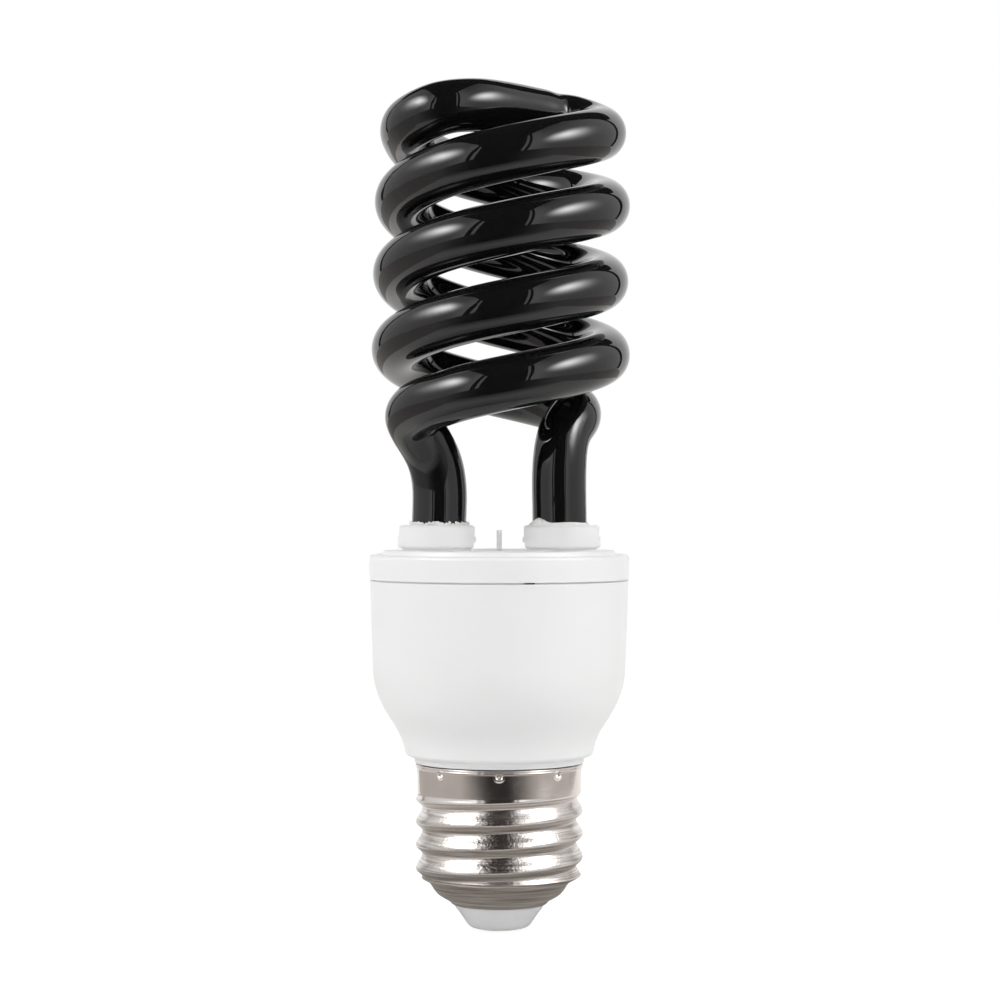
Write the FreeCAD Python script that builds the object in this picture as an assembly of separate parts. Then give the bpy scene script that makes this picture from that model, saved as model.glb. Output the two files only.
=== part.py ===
import FreeCAD, Part
import math
import os
from FreeCAD import Vector

# Black-glass double-spiral fluorescent lamp with a built-in ballast and a screw cap.
# Millimetres. +Z runs up the lamp's axis, and the origin is the bottom of the centre contact.
# The two legs of the glass tube stand on the X axis.

# Screw cap, standard medium Edison size
CAP_PITCH = 3.629
CAP_CREST_R = 13.1
THREAD_DEPTH = 1.0
CAP_ROOT_R = CAP_CREST_R - THREAD_DEPTH
SKIRT_INSET = 0.25
CAP_SKIRT_R = CAP_CREST_R - SKIRT_INSET
RIM_LIP = 0.35
CAP_RIM_R = CAP_SKIRT_R + RIM_LIP
CAP_SHEET = 0.4
CAP_TIP_R = 7.5
TIP_TURN_IN = 0.9
CAP_HOLE_R = CAP_TIP_R - TIP_TURN_IN
CAP_BOTTOM_Z = 4.0
CONE_H = 4.4
THREAD_L = 11.8
SKIRT_H = 6.0
CAP_CONE_TOP_Z = CAP_BOTTOM_Z + CONE_H
THREAD_TOP_Z = CAP_CONE_TOP_Z + THREAD_L
RIM_Z = THREAD_TOP_Z + SKIRT_H
CREST_H = 6.5
THREAD_CREST_Z = CAP_CONE_TOP_Z + CREST_H
THREAD_FADE = 1.4
RIM_FLARE = 0.6
RIM_EDGE = 0.2
LEVEL_STEP = 0.91
CAP_STEPS = 12
STAKES = 8
STAKE_R = 0.9
STAKE_DEPTH = 0.34
STAKE_DROP = 1.0
CAP_FIT = 0.05
# The cone from the tip up: share of its height, and share of the way from the tip's to the barrel's radius
CONE = [
    (0.0, 0.0), (0.04, 0.03), (0.12, 0.11), (0.23, 0.28), (0.34, 0.42),
    (0.48, 0.53), (0.66, 0.63), (0.8, 0.72), (0.9, 0.84), (1.0, 1.0),
]

# Insulator and centre contact at the tip
INSULATOR_INSET = 0.4
INSULATOR_R = CAP_TIP_R - INSULATOR_INSET
INSULATOR_FOOT_R = 5.25
INSULATOR_FOOT_Z = 0.2
INSULATOR_BULGE = 0.2
INSULATOR_BULGE_Z = 2.5
INSULATOR_LAND = 0.3
INSULATOR_GRIP = 0.85
INSULATOR_INNER_R = CAP_HOLE_R + INSULATOR_GRIP
INSULATOR_HEAD = 2.0
INSULATOR_TOP_Z = CAP_BOTTOM_Z + INSULATOR_HEAD
INSULATOR_ROUND = 1.5
CONTACT_R = 3.6
CONTACT_FACE_T = 0.45
CONTACT_DOME = 0.15
CONTACT_STEM_R = 2.0
CONTACT_HEAD_R = 2.9
CONTACT_HEAD_T = 0.6
CONTACT_TOP_Z = INSULATOR_TOP_Z + CONTACT_HEAD_T
CONTACT_BORE_R = 0.6
CONTACT_BORE_DEPTH = 3.5

# Ballast housing, up from the cap's rim
BODY_R = 20.4
COVER_LIP = 0.1
HOUSING_TOP_R = BODY_R - COVER_LIP
HOUSING_TAPER = 0.45
SHOULDER_R = HOUSING_TOP_R - HOUSING_TAPER
WALL = 1.5
NECK_LEDGE = 0.1
NECK_R = CAP_RIM_R + NECK_LEDGE
FOOT_LEDGE = 1.55
HOUSING_FOOT_R = NECK_R + FOOT_LEDGE
FOOT_ROUND = 0.9
FOOT_LEAN = 0.17
WAIST_SHARE = 0.47
WAIST_R = HOUSING_FOOT_R + WAIST_SHARE * (SHOULDER_R - HOUSING_FOOT_R)
NECK_H = 0.95
HOUSING_FOOT_Z = RIM_Z + NECK_H
WAIST_H = 5.95
WAIST_Z = HOUSING_FOOT_Z + WAIST_H
SHOULDER_H = 13.85
SHOULDER_Z = HOUSING_FOOT_Z + SHOULDER_H
SIDE_H = 13.6
HOUSING_TOP_Z = SHOULDER_Z + SIDE_H
SPIGOT_L = 6.7
SPIGOT_BOTTOM_Z = RIM_Z - SPIGOT_L
SPIGOT_WALL = 1.6

# Tube holder, the cover with two collars
COVER_R = BODY_R
COVER_EDGE_H = 4.1
COVER_EDGE_Z = HOUSING_TOP_Z + COVER_EDGE_H
COVER_RIM_W = 2.0
COVER_DISC_R = COVER_R - COVER_RIM_W
COVER_RISE = 0.6
COVER_TOP_Z = COVER_EDGE_Z + COVER_RISE
COVER_WALL = 1.8
EDGE_ROUND = 0.6
SEAM_GAP = 0.25
SEAM_DEPTH = 0.5
NOTCH_X = 4.55
NOTCH_W = 1.6
NOTCH_DEPTH = 4.2
SKIRT_L = 5.1
SKIRT_BOTTOM_Z = HOUSING_TOP_Z - SKIRT_L
SKIRT_WALL = 1.2
LATCH_H = 1.2
LATCH_RISE = 1.9
LATCH_Z = SKIRT_BOTTOM_Z + LATCH_RISE
LATCH_OUT = 0.45
LATCHES = 4
LATCH_TURN_DEG = 45.0
LATCH_W = 5.0
POST_W = 3.0
POST_T = 1.1
PIP_R = 0.4
PIP_H = 3.2

# Glass tube
LEG_X = 9.47
LEG_R = 4.28
COIL_THINNER = 0.08
COIL_TUBE_R = LEG_R - COIL_THINNER
BRIDGE_THINNER = 0.18
BRIDGE_TUBE_R = LEG_R - BRIDGE_THINNER
TUBE_INSERT = 8.8
TUBE_END_Z = COVER_TOP_Z - TUBE_INSERT
TUBE_DOME = 0.45
COIL_R = 15.75
COIL_PITCH = 23.0
COIL_TURNS = 2
COIL_LIFT = 19.9
COIL_START_Z = COVER_TOP_Z + COIL_LIFT
COIL_END_Z = COIL_START_Z + COIL_PITCH * COIL_TURNS
COIL_GROW_DEG = 60.0
STEP_DEG = 20.0
# Each arm's bend from its leg into the coil: where the coil begins round the axis and how far inside
# the full coil, how high the straight leg stands over the cover, and how long the bend keeps the
# direction of the leg and of the coil. Then the coil's wander off its even course, as rows of angle,
# out and up; the left arm is drawn in at the end, where the bridge begins.
LEFT_BEND = {
    "start_deg": 31.0, "inside": 0.75, "leg_h": 10.7, "leg_pull": 16.7, "coil_pull": 13.4,
    "wander": [
        (0, 0.0, 0.0), (180, 0.6, -0.5), (360, -0.1, 0.35), (540, 0.6, -0.1), (630, 0.4, -0.1),
        (720, -1.25, -0.15),
    ],
}
RIGHT_BEND = {
    "start_deg": 39.0, "inside": 0.7, "leg_h": 13.4, "leg_pull": 24.5, "coil_pull": 10.9,
    "wander": [(0, 0.0, 0.0), (180, 0.1, 0.0), (360, 0.35, -0.5), (540, -0.4, 0.15), (720, -0.1, -0.15)],
}
# The bridge joins the two arms over the top in a slanting S, with a shallow waist where it was sealed.
# Its heights are over the end of the coil.
BRIDGE = [
    (-12.4, -6.9, 1.15),
    (-8.4, -9.0, 2.4),
    (-3.8, -7.4, 3.0),
    (1.4, -2.6, 3.2),
    (7.0, 2.9, 2.95),
    (10.5, 4.7, 2.55),
    (14.1, 3.3, 1.15),
]
BRIDGE_WAIST = (8.8, 4.0, 2.75)
WAIST_DEPTH = 0.3
WAIST_LENGTH = 1.8
TUBE_SECTIONS = 110

# Collars of the tube holder, each round its leg
COLLAR_SHIFT = 0.33
COLLAR_X = LEG_X + COLLAR_SHIFT
COLLAR_WALL = 1.67
COLLAR_R = LEG_R + COLLAR_WALL
COLLAR_STEP = 0.2
COLLAR_H = 3.95
COLLAR_TOP_Z = COVER_TOP_Z + COLLAR_H
COLLAR_LEDGE = 1.8
COLLAR_LEDGE_Z = COLLAR_TOP_Z - COLLAR_LEDGE
COLLAR_EDGE = 0.25
COLLAR_FOOT_H = 0.35
COLLAR_FOOT_INSET = 0.5
COLLAR_ROUND = 0.6
COLLAR_UNDERCUT_R = 4.5
COLLAR_UNDERCUT_H = 1.3

# Cement round the legs
CEMENT_GAP = 0.32
CEMENT_SLIP = 0.05
CEMENT_BEAD = 0.55
CEMENT_RISE = 0.5
CEMENT_ROUGH = 0.1
CEMENT_STEPS = 24

# Circuit board, on ribs in the housing
BOARD_EDGE_GAP = 1.05
BOARD_R = SHOULDER_R - WALL - BOARD_EDGE_GAP
BOARD_T = 1.6
BOARD_DEPTH = 15.0
BOARD_Z = HOUSING_TOP_Z - BOARD_DEPTH
BOARD_TOP = BOARD_Z + BOARD_T
BOARD_RIBS = 6
RIB_W = 1.2
RIB_REACH = 2.6
RIB_H = 6.1
RIB_TURN_DEG = 12.0
FIT = 0.1

# Pieces on the board
LEAD_W = 0.55
LEAD_R = 0.3
HOLE_CLEAR = 0.15
LEAD_STUB = 1.2
PIN_W = 0.8
PIN_H = 4.5
PIN_INSET = 1.6
PIN_X = BOARD_R - PIN_INSET
PIN_Y = 1.5
FILAMENT_R = 0.2
SOLDER_SIDE = 0.8
CHOKE_W = 13.0
CHOKE_D = 6.0
CHOKE_H = 12.0
CHOKE_Y = 7.6
CHOKE_SIDE = 2.0
CHOKE_LEG = 4.0
CHOKE_YOKE = 2.4
CHOKE_ROUND = 1.2
BOBBIN_WALL = 0.5
RING_R = 4.0
RING_HOLE_R = 2.2
RING_H = 3.2
RING_X = 11.6
RING_Y = 5.6
WINDING_T = 0.4
WINDING_GAP = 0.05
CAN_R = 5.0
CAN_L = 16.0
CAN_ROUND = 0.6
CAN_CRIMP = 2.6
CAN_DROP = 1.0
CAN_LEG_X = 2.5
FUSE_R = 1.7
FUSE_L = 9.0
FUSE_X = 7.9
FUSE_DROP = 14.6
FUSE_BOTTOM_Z = BOARD_Z - FUSE_DROP
FUSE_LEAD_DROP = 3.5
FUSE_LEAD_Z = SPIGOT_BOTTOM_Z - FUSE_LEAD_DROP
FUSE_LEAD_RISE = 2.0
WIRE_BEND = 1.2
SHELL_LEAD_DEG = 215.0
FILM_LEG = 0.4
TRANSISTOR_R = 2.35
TRANSISTOR_H = 4.7
TRANSISTOR_LIFT = 2.0
TRANSISTOR_PITCH = 1.27
# Body radius and length of each kind of lying piece
BODIES = {"diode": (1.35, 5.2), "small_diode": (0.95, 3.9), "resistor": (1.15, 6.3)}
# Place on the board (x, y) and kind
AXIAL = {
    "rectifier_diode_1": (-4.3, -11.4, "diode"),
    "rectifier_diode_2": (4.3, -11.4, "diode"),
    "rectifier_diode_3": (-4.3, -14.4, "diode"),
    "rectifier_diode_4": (4.3, -14.4, "diode"),
    "trigger_diode": (0.0, -2.2, "small_diode"),
    "resistor_1": (-9.6, -1.7, "resistor"),
    "resistor_2": (-9.6, 1.5, "resistor"),
    "resistor_3": (9.4, -2.4, "resistor"),
}
FILM = {
    "resonance_capacitor": {
        "x": 0.0, "y": -6.9, "turn_deg": 0.0, "size_x": 12.0, "size_y": 5.0, "height": 9.0,
    },
    "coupling_capacitor": {
        "x": -10.6, "y": 7.2, "turn_deg": 55.0, "size_x": 7.0, "size_y": 4.0, "height": 7.0,
    },
}
TRANSISTORS = {
    "transistor_1": {"x": -11.6, "y": -6.6, "turn_deg": 60.0},
    "transistor_2": {"x": 11.6, "y": -6.9, "turn_deg": -60.0},
}


def cylinder(radius, bottom, top, x=0.0, y=0.0):
    return Part.makeCylinder(radius, top - bottom, Vector(x, y, bottom))


def box(size_x, size_y, bottom, top, x=0.0, y=0.0, turn=0.0):
    solid = Part.makeBox(size_x, size_y, top - bottom, Vector(-size_x / 2, -size_y / 2, bottom))
    solid.rotate(Vector(0, 0, 0), Vector(0, 0, 1), turn)
    solid.translate(Vector(x, y, 0))
    return solid


def revolve(edges):
    """Solid of revolution about Z from edges drawn in the XZ plane, in order."""
    face = Part.Face(Part.Wire(edges))
    return face.revolve(Vector(0, 0, 0), Vector(0, 0, 1), 360)


def lines(points):
    """Straight edges through (radius, height) points."""
    corners = [Vector(r, 0, z) for r, z in points]
    return [Part.makeLine(a, b) for a, b in zip(corners, corners[1:])]


def ring_positions(count, start_deg=0.0):
    return [start_deg + 360.0 * i / count for i in range(count)]


def smooth(t):
    """0 below 0, 1 above 1, and an even rise between."""
    t = min(max(t, 0.0), 1.0)
    return t * t * (3 - 2 * t)


def between(table, at):
    """Value at a place in a table of (place, value) rows, along straight lines between them."""
    for (x0, y0), (x1, y1) in zip(table, table[1:]):
        if at <= x1:
            break
    return y0 + (y1 - y0) * (at - x0) / (x1 - x0)


def closed_curve(points):
    """Smooth closed curve through evenly numbered points."""
    curve = Part.BSplineCurve()
    numbers = [float(i) for i in range(len(points) + 1)]
    curve.interpolate(Points=points, PeriodicFlag=True, Parameters=numbers)
    return curve


def corner(centre_r, centre_z, radius, start_deg, outward=False):
    """Quarter-round edge in the XZ plane: up from a flat foot, or over onto a flat top."""
    first = math.radians(start_deg)
    base = Vector(centre_r, 0, centre_z if outward else centre_z + radius)
    spots = []
    for step in (0, 1, 2):
        angle = first + math.pi / 4 * step
        spots.append(base + Vector(math.cos(angle), 0, math.sin(angle)) * radius)
    return Part.Arc(*spots).toShape()


def skin(sections, stations):
    """Smooth surface through closed curves that share one parametrisation, at the given stations."""
    first = sections[0]
    lanes = []
    for poles in zip(*[curve.getPoles() for curve in sections]):
        lane = Part.BSplineCurve()
        lane.interpolate(Points=list(poles), Parameters=stations)
        lanes.append(lane)
    net = [list(row) for row in zip(*[lane.getPoles() for lane in lanes])]
    along = lanes[0]
    surface = Part.BSplineSurface()
    surface.buildFromPolesMultsKnots(
        net,
        along.getMultiplicities(),
        first.getMultiplicities(),
        along.getKnots(),
        first.getKnots(),
        False,
        first.isPeriodic(),
        along.Degree,
        first.Degree,
        [first.getWeights()] * len(net),
    )
    return surface.toShape()


def closed_solid(side):
    """Solid from a tubular surface, closed by a flat face at each end."""
    ends = [edge for edge in side.Edges if edge.isClosed() and edge.Length > 0.01]
    rims = [edge for edge in ends if not any(edge.isSame(other) for other in seams(side))]
    shell = Part.makeShell([side] + [Part.Face(Part.Wire([edge])) for edge in rims])
    shell.sewShape()
    solid = Part.makeSolid(shell)
    if solid.Volume < 0:
        solid.reverse()
    return solid


def seams(face):
    return [edge for edge in face.Edges if edge.isSeam(face)]


# Glass tube

def wander(angle_deg, table):
    """How far out and up the coil lies off its even course, changing smoothly from row to row."""
    for (at, out, up), (next_at, next_out, next_up) in zip(table, table[1:]):
        if angle_deg <= next_at:
            break
    share = smooth((angle_deg - at) / (next_at - at))
    return out + (next_out - out) * share, up + (next_up - up) * share


def coil_point(angle_deg, bend):
    """A point of one arm's coil, with its first stretch growing outwards."""
    grown = smooth((angle_deg - bend["start_deg"]) / COIL_GROW_DEG)
    out, up = wander(angle_deg, bend["wander"])
    radius = COIL_R - bend["inside"] * (1 - grown) + out
    angle = math.radians(angle_deg)
    height = COIL_START_Z + COIL_PITCH * angle_deg / 360.0 + up
    return Vector(radius * math.cos(angle), radius * math.sin(angle), height)


def bend_points(start, start_way, end, end_way):
    """Three points of the free bend between two directions."""
    points = []
    for t in (0.25, 0.5, 0.75):
        a = 2 * t ** 3 - 3 * t ** 2 + 1
        b = t ** 3 - 2 * t ** 2 + t
        c = t ** 3 - t ** 2
        points.append(start * a + start_way * b + end * (1 - a) + end_way * c)
    return points


def arm(bend):
    """Centre line of one arm, from the foot of its leg on +X to the end of its last turn."""
    leg_top = COVER_TOP_Z + bend["leg_h"]
    leg = [Vector(LEG_X, 0, TUBE_END_Z + (leg_top - TUBE_END_Z) * i / 3) for i in range(4)]
    turn = 360.0 * COIL_TURNS - bend["start_deg"]
    count = round(turn / STEP_DEG)
    coil = [coil_point(bend["start_deg"] + turn * i / count, bend) for i in range(count + 1)]
    way = (coil[1] - coil[0]).normalize()
    bent = bend_points(leg[-1], Vector(0, 0, bend["leg_pull"]), coil[0], way * bend["coil_pull"])
    return leg + bent + coil


def bridge_point(x, y, rise):
    return Vector(x, y, COIL_END_Z + rise)


def tube_centre_line():
    left = [Vector(-p.x, -p.y, p.z) for p in arm(LEFT_BEND)]
    right = arm(RIGHT_BEND)
    path = Part.BSplineCurve()
    path.interpolate(left + [bridge_point(*p) for p in BRIDGE] + right[::-1])
    return path


def tube_radius(point):
    """Full on the legs, drawn a little thinner in the coil and on the bridge, least at the waist."""
    bend_z = COVER_TOP_Z + LEFT_BEND["leg_h"]
    bridge_rise = max(rise for x, y, rise in BRIDGE)
    radius = LEG_R + (COIL_TUBE_R - LEG_R) * smooth((point.z - bend_z) / (COIL_START_Z - bend_z))
    radius += (BRIDGE_TUBE_R - COIL_TUBE_R) * smooth((point.z - COIL_END_Z) / bridge_rise)
    away = (point - bridge_point(*BRIDGE_WAIST)).Length / WAIST_LENGTH
    return radius - WAIST_DEPTH * math.exp(-away * away)


def tube_stations(path):
    """How far along the centre line each section is drawn: evenly, and closer together round the waist."""
    step = path.length() / TUBE_SECTIONS
    waist_at = path.parameter(bridge_point(*BRIDGE_WAIST))
    waist = path.length(path.FirstParameter, waist_at)
    close = [waist + WAIST_LENGTH * i / 2 for i in range(-4, 5)]
    even = [step * i for i in range(TUBE_SECTIONS + 1)]
    return sorted(close + [at for at in even if abs(at - waist) > 2 * WAIST_LENGTH + step / 3])


def spiral_tube():
    path = tube_centre_line()
    stations = tube_stations(path)
    normal = Vector(1, 0, 0)
    sections = []
    for distance in stations:
        at = path.parameterAtDistance(distance, path.FirstParameter)
        centre = path.value(at)
        way = path.tangent(at)[0]
        normal = (normal - way * normal.dot(way)).normalize()
        circle = Part.Circle(centre, way, tube_radius(centre))
        circle.XAxis = normal
        sections.append(circle.toBSpline())
    return round_tube_ends(closed_solid(skin(sections, stations)))


def tube_foot_z():
    """Lowest point of the tube, where its wires come out."""
    return TUBE_END_Z - TUBE_DOME * LEG_R


def round_tube_ends(tube):
    """The glass closes over each end, under the cover."""
    for x in (-LEG_X, LEG_X):
        dome = Part.makeSphere(LEG_R, Vector(x, 0, TUBE_END_Z))
        tube = tube.fuse(dome.common(box(3 * LEG_R, 3 * LEG_R, tube_foot_z(), TUBE_END_Z, x)))
    return tube.removeSplitter()


def cement(x):
    """Cement between a leg and its collar, with a crumbly bead on top."""
    sleeve_r = LEG_R + CEMENT_GAP
    sections = []
    for step in range(5):
        up = math.radians(90.0 * step / 4)
        points = []
        for angle in [math.radians(a) for a in ring_positions(CEMENT_STEPS)]:
            rough = math.sin(5 * angle + x) + 0.7 * math.sin(8 * angle) + 0.5 * math.sin(11 * angle + 2 * x)
            lump = CEMENT_BEAD + CEMENT_ROUGH * rough * math.cos(up)
            radius = LEG_R - CEMENT_GAP + (CEMENT_GAP + lump) * math.cos(up)
            height = COLLAR_TOP_Z + CEMENT_RISE * math.sin(up) * (1 + 0.25 * rough * math.cos(up))
            points.append(Vector(x + radius * math.cos(angle), radius * math.sin(angle), height))
        sections.append(closed_curve(points))
    bead = closed_solid(skin(sections, [float(i) for i in range(5)]))
    sleeve = cylinder(sleeve_r, COVER_TOP_Z - COVER_WALL, COLLAR_TOP_Z, x)
    bore_top = COLLAR_TOP_Z + 2 * CEMENT_RISE
    return bead.fuse(sleeve).cut(cylinder(LEG_R + CEMENT_SLIP, TUBE_END_Z, bore_top, x))


# Screw cap

def cap_radius(z):
    """Mean outer radius of the cap: a rounded cone, the barrel, the skirt and its flared rim."""
    mean = (CAP_ROOT_R + CAP_CREST_R) / 2
    if z < CAP_CONE_TOP_Z:
        return CAP_TIP_R + (mean - CAP_TIP_R) * between(CONE, (z - CAP_BOTTOM_Z) / CONE_H)
    skirt = smooth((z - THREAD_TOP_Z) / THREAD_FADE)
    rim = smooth((z - RIM_Z + RIM_FLARE) / RIM_FLARE)
    return mean + (CAP_SKIRT_R - mean) * skirt + (CAP_RIM_R - CAP_SKIRT_R) * rim


def thread_wave(angle, z):
    """Height of the rolled knuckle thread over the mean radius; it fades out at both ends."""
    fade = smooth((z - CAP_CONE_TOP_Z) / THREAD_FADE + 1) * (1 - smooth((z - THREAD_TOP_Z) / THREAD_FADE))
    phase = 2 * math.pi * (z - THREAD_CREST_Z) / CAP_PITCH - angle
    return (CAP_CREST_R - CAP_ROOT_R) / 2 * fade * math.cos(phase)


def cap_levels(bottom, top):
    """Heights at which the cap's section is drawn, closer together where the cone turns flat."""
    cone = [bottom + (CAP_CONE_TOP_Z - bottom) * share for share, way in CONE[:-1]]
    count = round((THREAD_TOP_Z + THREAD_FADE - CAP_CONE_TOP_Z) / LEVEL_STEP)
    barrel = [CAP_CONE_TOP_Z + LEVEL_STEP * i for i in range(count + 1)]
    rim = [RIM_Z - 2 * RIM_FLARE, RIM_Z - RIM_FLARE, RIM_Z - RIM_FLARE / 2, top]
    return cone + barrel + rim


def cap_solid(bottom, top, inset):
    sections = []
    levels = cap_levels(bottom, top)
    for z in levels:
        points = []
        for angle in [math.radians(a) for a in ring_positions(CAP_STEPS)]:
            radius = cap_radius(z) + thread_wave(angle, z) - inset
            points.append(Vector(radius * math.cos(angle), radius * math.sin(angle), z))
        sections.append(closed_curve(points))
    return closed_solid(skin(sections, levels))


def rim_bevel():
    """What the bevel takes off the upper edge of the rim."""
    inside = CAP_RIM_R - RIM_EDGE
    outside = CAP_RIM_R + RIM_EDGE
    above = RIM_Z + RIM_EDGE
    return revolve(lines([
        (inside, RIM_Z), (outside, RIM_Z - 2 * RIM_EDGE), (outside, above), (inside, above), (inside, RIM_Z),
    ]))


def screw_shell():
    """Rolled sheet, open at the rim, turned in at the tip and staked to the housing's neck."""
    shell = cap_solid(CAP_BOTTOM_Z, RIM_Z, 0.0)
    hollow = cap_solid(CAP_BOTTOM_Z + CAP_SHEET, RIM_Z + CAP_SHEET, CAP_SHEET)
    shell = shell.cut(hollow).cut(cylinder(CAP_HOLE_R, 0, CAP_CONE_TOP_Z)).cut(rim_bevel())
    stake_r = CAP_SKIRT_R + STAKE_R - STAKE_DEPTH
    for angle in [math.radians(a) for a in ring_positions(STAKES)]:
        place = Vector(stake_r * math.cos(angle), stake_r * math.sin(angle), RIM_Z - STAKE_DROP)
        shell = shell.cut(Part.makeSphere(STAKE_R, place))
    return shell


def cap_insulator():
    """Glass disc that fills the cap's hole, gripped above and below the turned-in sheet."""
    shoulder = INSULATOR_FOOT_R - INSULATOR_ROUND
    neck = CAP_HOLE_R - CAP_FIT
    sheet_top = CAP_BOTTOM_Z + CAP_SHEET
    edges = lines([(0, INSULATOR_FOOT_Z), (shoulder, INSULATOR_FOOT_Z)])
    edges.append(corner(shoulder, INSULATOR_FOOT_Z, INSULATOR_ROUND, -90))
    land_z = CAP_BOTTOM_Z - INSULATOR_LAND
    mid = Vector((INSULATOR_FOOT_R + INSULATOR_R) / 2 + INSULATOR_BULGE, 0, INSULATOR_BULGE_Z)
    side = Vector(INSULATOR_FOOT_R, 0, INSULATOR_FOOT_Z + INSULATOR_ROUND)
    edges.append(Part.Arc(side, mid, Vector(INSULATOR_R, 0, land_z)).toShape())
    edges += lines([
        (INSULATOR_R, land_z), (INSULATOR_R, CAP_BOTTOM_Z), (neck, CAP_BOTTOM_Z),
        (neck, sheet_top), (INSULATOR_INNER_R, sheet_top), (INSULATOR_INNER_R, INSULATOR_TOP_Z),
        (0, INSULATOR_TOP_Z), (0, INSULATOR_FOOT_Z),
    ])
    recess = cylinder(CONTACT_R + CAP_FIT, 0, CONTACT_FACE_T)
    stem_hole = cylinder(CONTACT_STEM_R + CAP_FIT, 0, INSULATOR_TOP_Z)
    return revolve(edges).cut(recess).cut(stem_hole)


def centre_contact():
    """Rivet with a flat face and a rounded edge, a stem through the insulator and a bore for the lead."""
    flat_r = CONTACT_R - 3 * CONTACT_DOME
    edges = lines([(0, 0), (flat_r, 0)])
    half = Vector((flat_r + CONTACT_R) / 2 + 0.3 * CONTACT_DOME, 0, 0.35 * CONTACT_DOME)
    edges.append(Part.Arc(Vector(flat_r, 0, 0), half, Vector(CONTACT_R, 0, CONTACT_DOME)).toShape())
    edges += lines([
        (CONTACT_R, CONTACT_DOME), (CONTACT_R, CONTACT_FACE_T), (CONTACT_STEM_R, CONTACT_FACE_T),
        (CONTACT_STEM_R, INSULATOR_TOP_Z), (CONTACT_HEAD_R, INSULATOR_TOP_Z),
        (CONTACT_HEAD_R, CONTACT_TOP_Z), (0, CONTACT_TOP_Z), (0, 0),
    ])
    bore = cylinder(CONTACT_BORE_R, CONTACT_TOP_Z - CONTACT_BORE_DEPTH, CONTACT_TOP_Z)
    return revolve(edges).cut(bore)


# Ballast housing and tube holder

def spigot_radius():
    """The neck's spigot fits inside the thread roots of the sheet."""
    return CAP_ROOT_R - CAP_SHEET - CAP_FIT


def shoulder_curve():
    """The housing's side from its narrow foot out to the shoulder."""
    foot = Vector(HOUSING_FOOT_R, 0, HOUSING_FOOT_Z + FOOT_ROUND)
    waist = Vector(WAIST_R, 0, WAIST_Z)
    curve = Part.BSplineCurve()
    taper = Vector(HOUSING_TOP_R - SHOULDER_R, 0, HOUSING_TOP_Z - SHOULDER_Z)
    curve.interpolate(
        Points=[foot, waist, Vector(SHOULDER_R, 0, SHOULDER_Z)],
        InitialTangent=Vector(FOOT_LEAN, 0, 1),
        FinalTangent=taper,
    )
    return curve.toShape()


def housing_inner_radius(z):
    """Inner radius of the straight wall above the shoulder."""
    up = (z - SHOULDER_Z) / (HOUSING_TOP_Z - SHOULDER_Z)
    return SHOULDER_R + (HOUSING_TOP_R - SHOULDER_R) * up - WALL


def ballast_housing():
    spigot = spigot_radius()
    foot_r = HOUSING_FOOT_R - FOOT_ROUND
    floor_z = HOUSING_FOOT_Z + FOOT_ROUND
    outer = lines([
        (spigot - SPIGOT_WALL, SPIGOT_BOTTOM_Z), (spigot, SPIGOT_BOTTOM_Z), (spigot, RIM_Z),
        (NECK_R, RIM_Z), (NECK_R, HOUSING_FOOT_Z), (foot_r, HOUSING_FOOT_Z),
    ])
    outer.append(corner(foot_r, HOUSING_FOOT_Z, FOOT_ROUND, -90))
    outer.append(shoulder_curve())
    rim = lines([(SHOULDER_R, SHOULDER_Z), (HOUSING_TOP_R, HOUSING_TOP_Z)])
    side = outer + rim
    inner_foot = HOUSING_FOOT_R - WALL
    bore = spigot - SPIGOT_WALL
    wall = side + lines([
        (HOUSING_TOP_R, HOUSING_TOP_Z), (HOUSING_TOP_R - WALL, HOUSING_TOP_Z),
        (SHOULDER_R - WALL, SHOULDER_Z), (WAIST_R - WALL, WAIST_Z), (inner_foot, floor_z + WALL),
        (bore, floor_z + WALL), (bore, SPIGOT_BOTTOM_Z),
    ])
    housing = revolve(wall)
    filled = side + lines([
        (HOUSING_TOP_R, HOUSING_TOP_Z), (0, HOUSING_TOP_Z), (0, SPIGOT_BOTTOM_Z), (bore, SPIGOT_BOTTOM_Z),
    ])
    ribs = board_ribs().common(revolve(filled))
    groove_r = housing_inner_radius(LATCH_Z) + LATCH_OUT
    groove = cylinder(groove_r, LATCH_Z - FIT, LATCH_Z + LATCH_H + FIT)
    return housing.fuse(ribs).cut(groove)


def board_ribs():
    """Upright ribs on the inner wall that carry the board's edge."""
    ribs = []
    for angle in ring_positions(BOARD_RIBS, RIB_TURN_DEG):
        rib = box(2 * RIB_REACH, RIB_W, BOARD_Z - RIB_H, BOARD_Z, BOARD_R)
        rib.rotate(Vector(0, 0, 0), Vector(0, 0, 1), angle)
        ribs.append(rib)
    return ribs[0].fuse(ribs[1:])


def collar(x):
    """Round socket for one leg, on a narrower foot, with a small step in its side."""
    low_r = COLLAR_R + COLLAR_STEP
    foot_r = COLLAR_R - COLLAR_FOOT_INSET
    low_z = COVER_TOP_Z + COLLAR_FOOT_H
    edges = lines([(0, COVER_TOP_Z), (foot_r, COVER_TOP_Z), (foot_r, low_z), (low_r - COLLAR_ROUND, low_z)])
    edges.append(corner(low_r - COLLAR_ROUND, low_z, COLLAR_ROUND, -90))
    solid = revolve(edges + lines([
        (low_r, low_z + COLLAR_ROUND), (low_r, COLLAR_LEDGE_Z), (COLLAR_R, COLLAR_LEDGE_Z),
        (COLLAR_R, COLLAR_TOP_Z - COLLAR_EDGE), (COLLAR_R - COLLAR_EDGE, COLLAR_TOP_Z),
        (0, COLLAR_TOP_Z), (0, COVER_TOP_Z),
    ]))
    solid.translate(Vector(x, 0, 0))
    return solid


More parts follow.
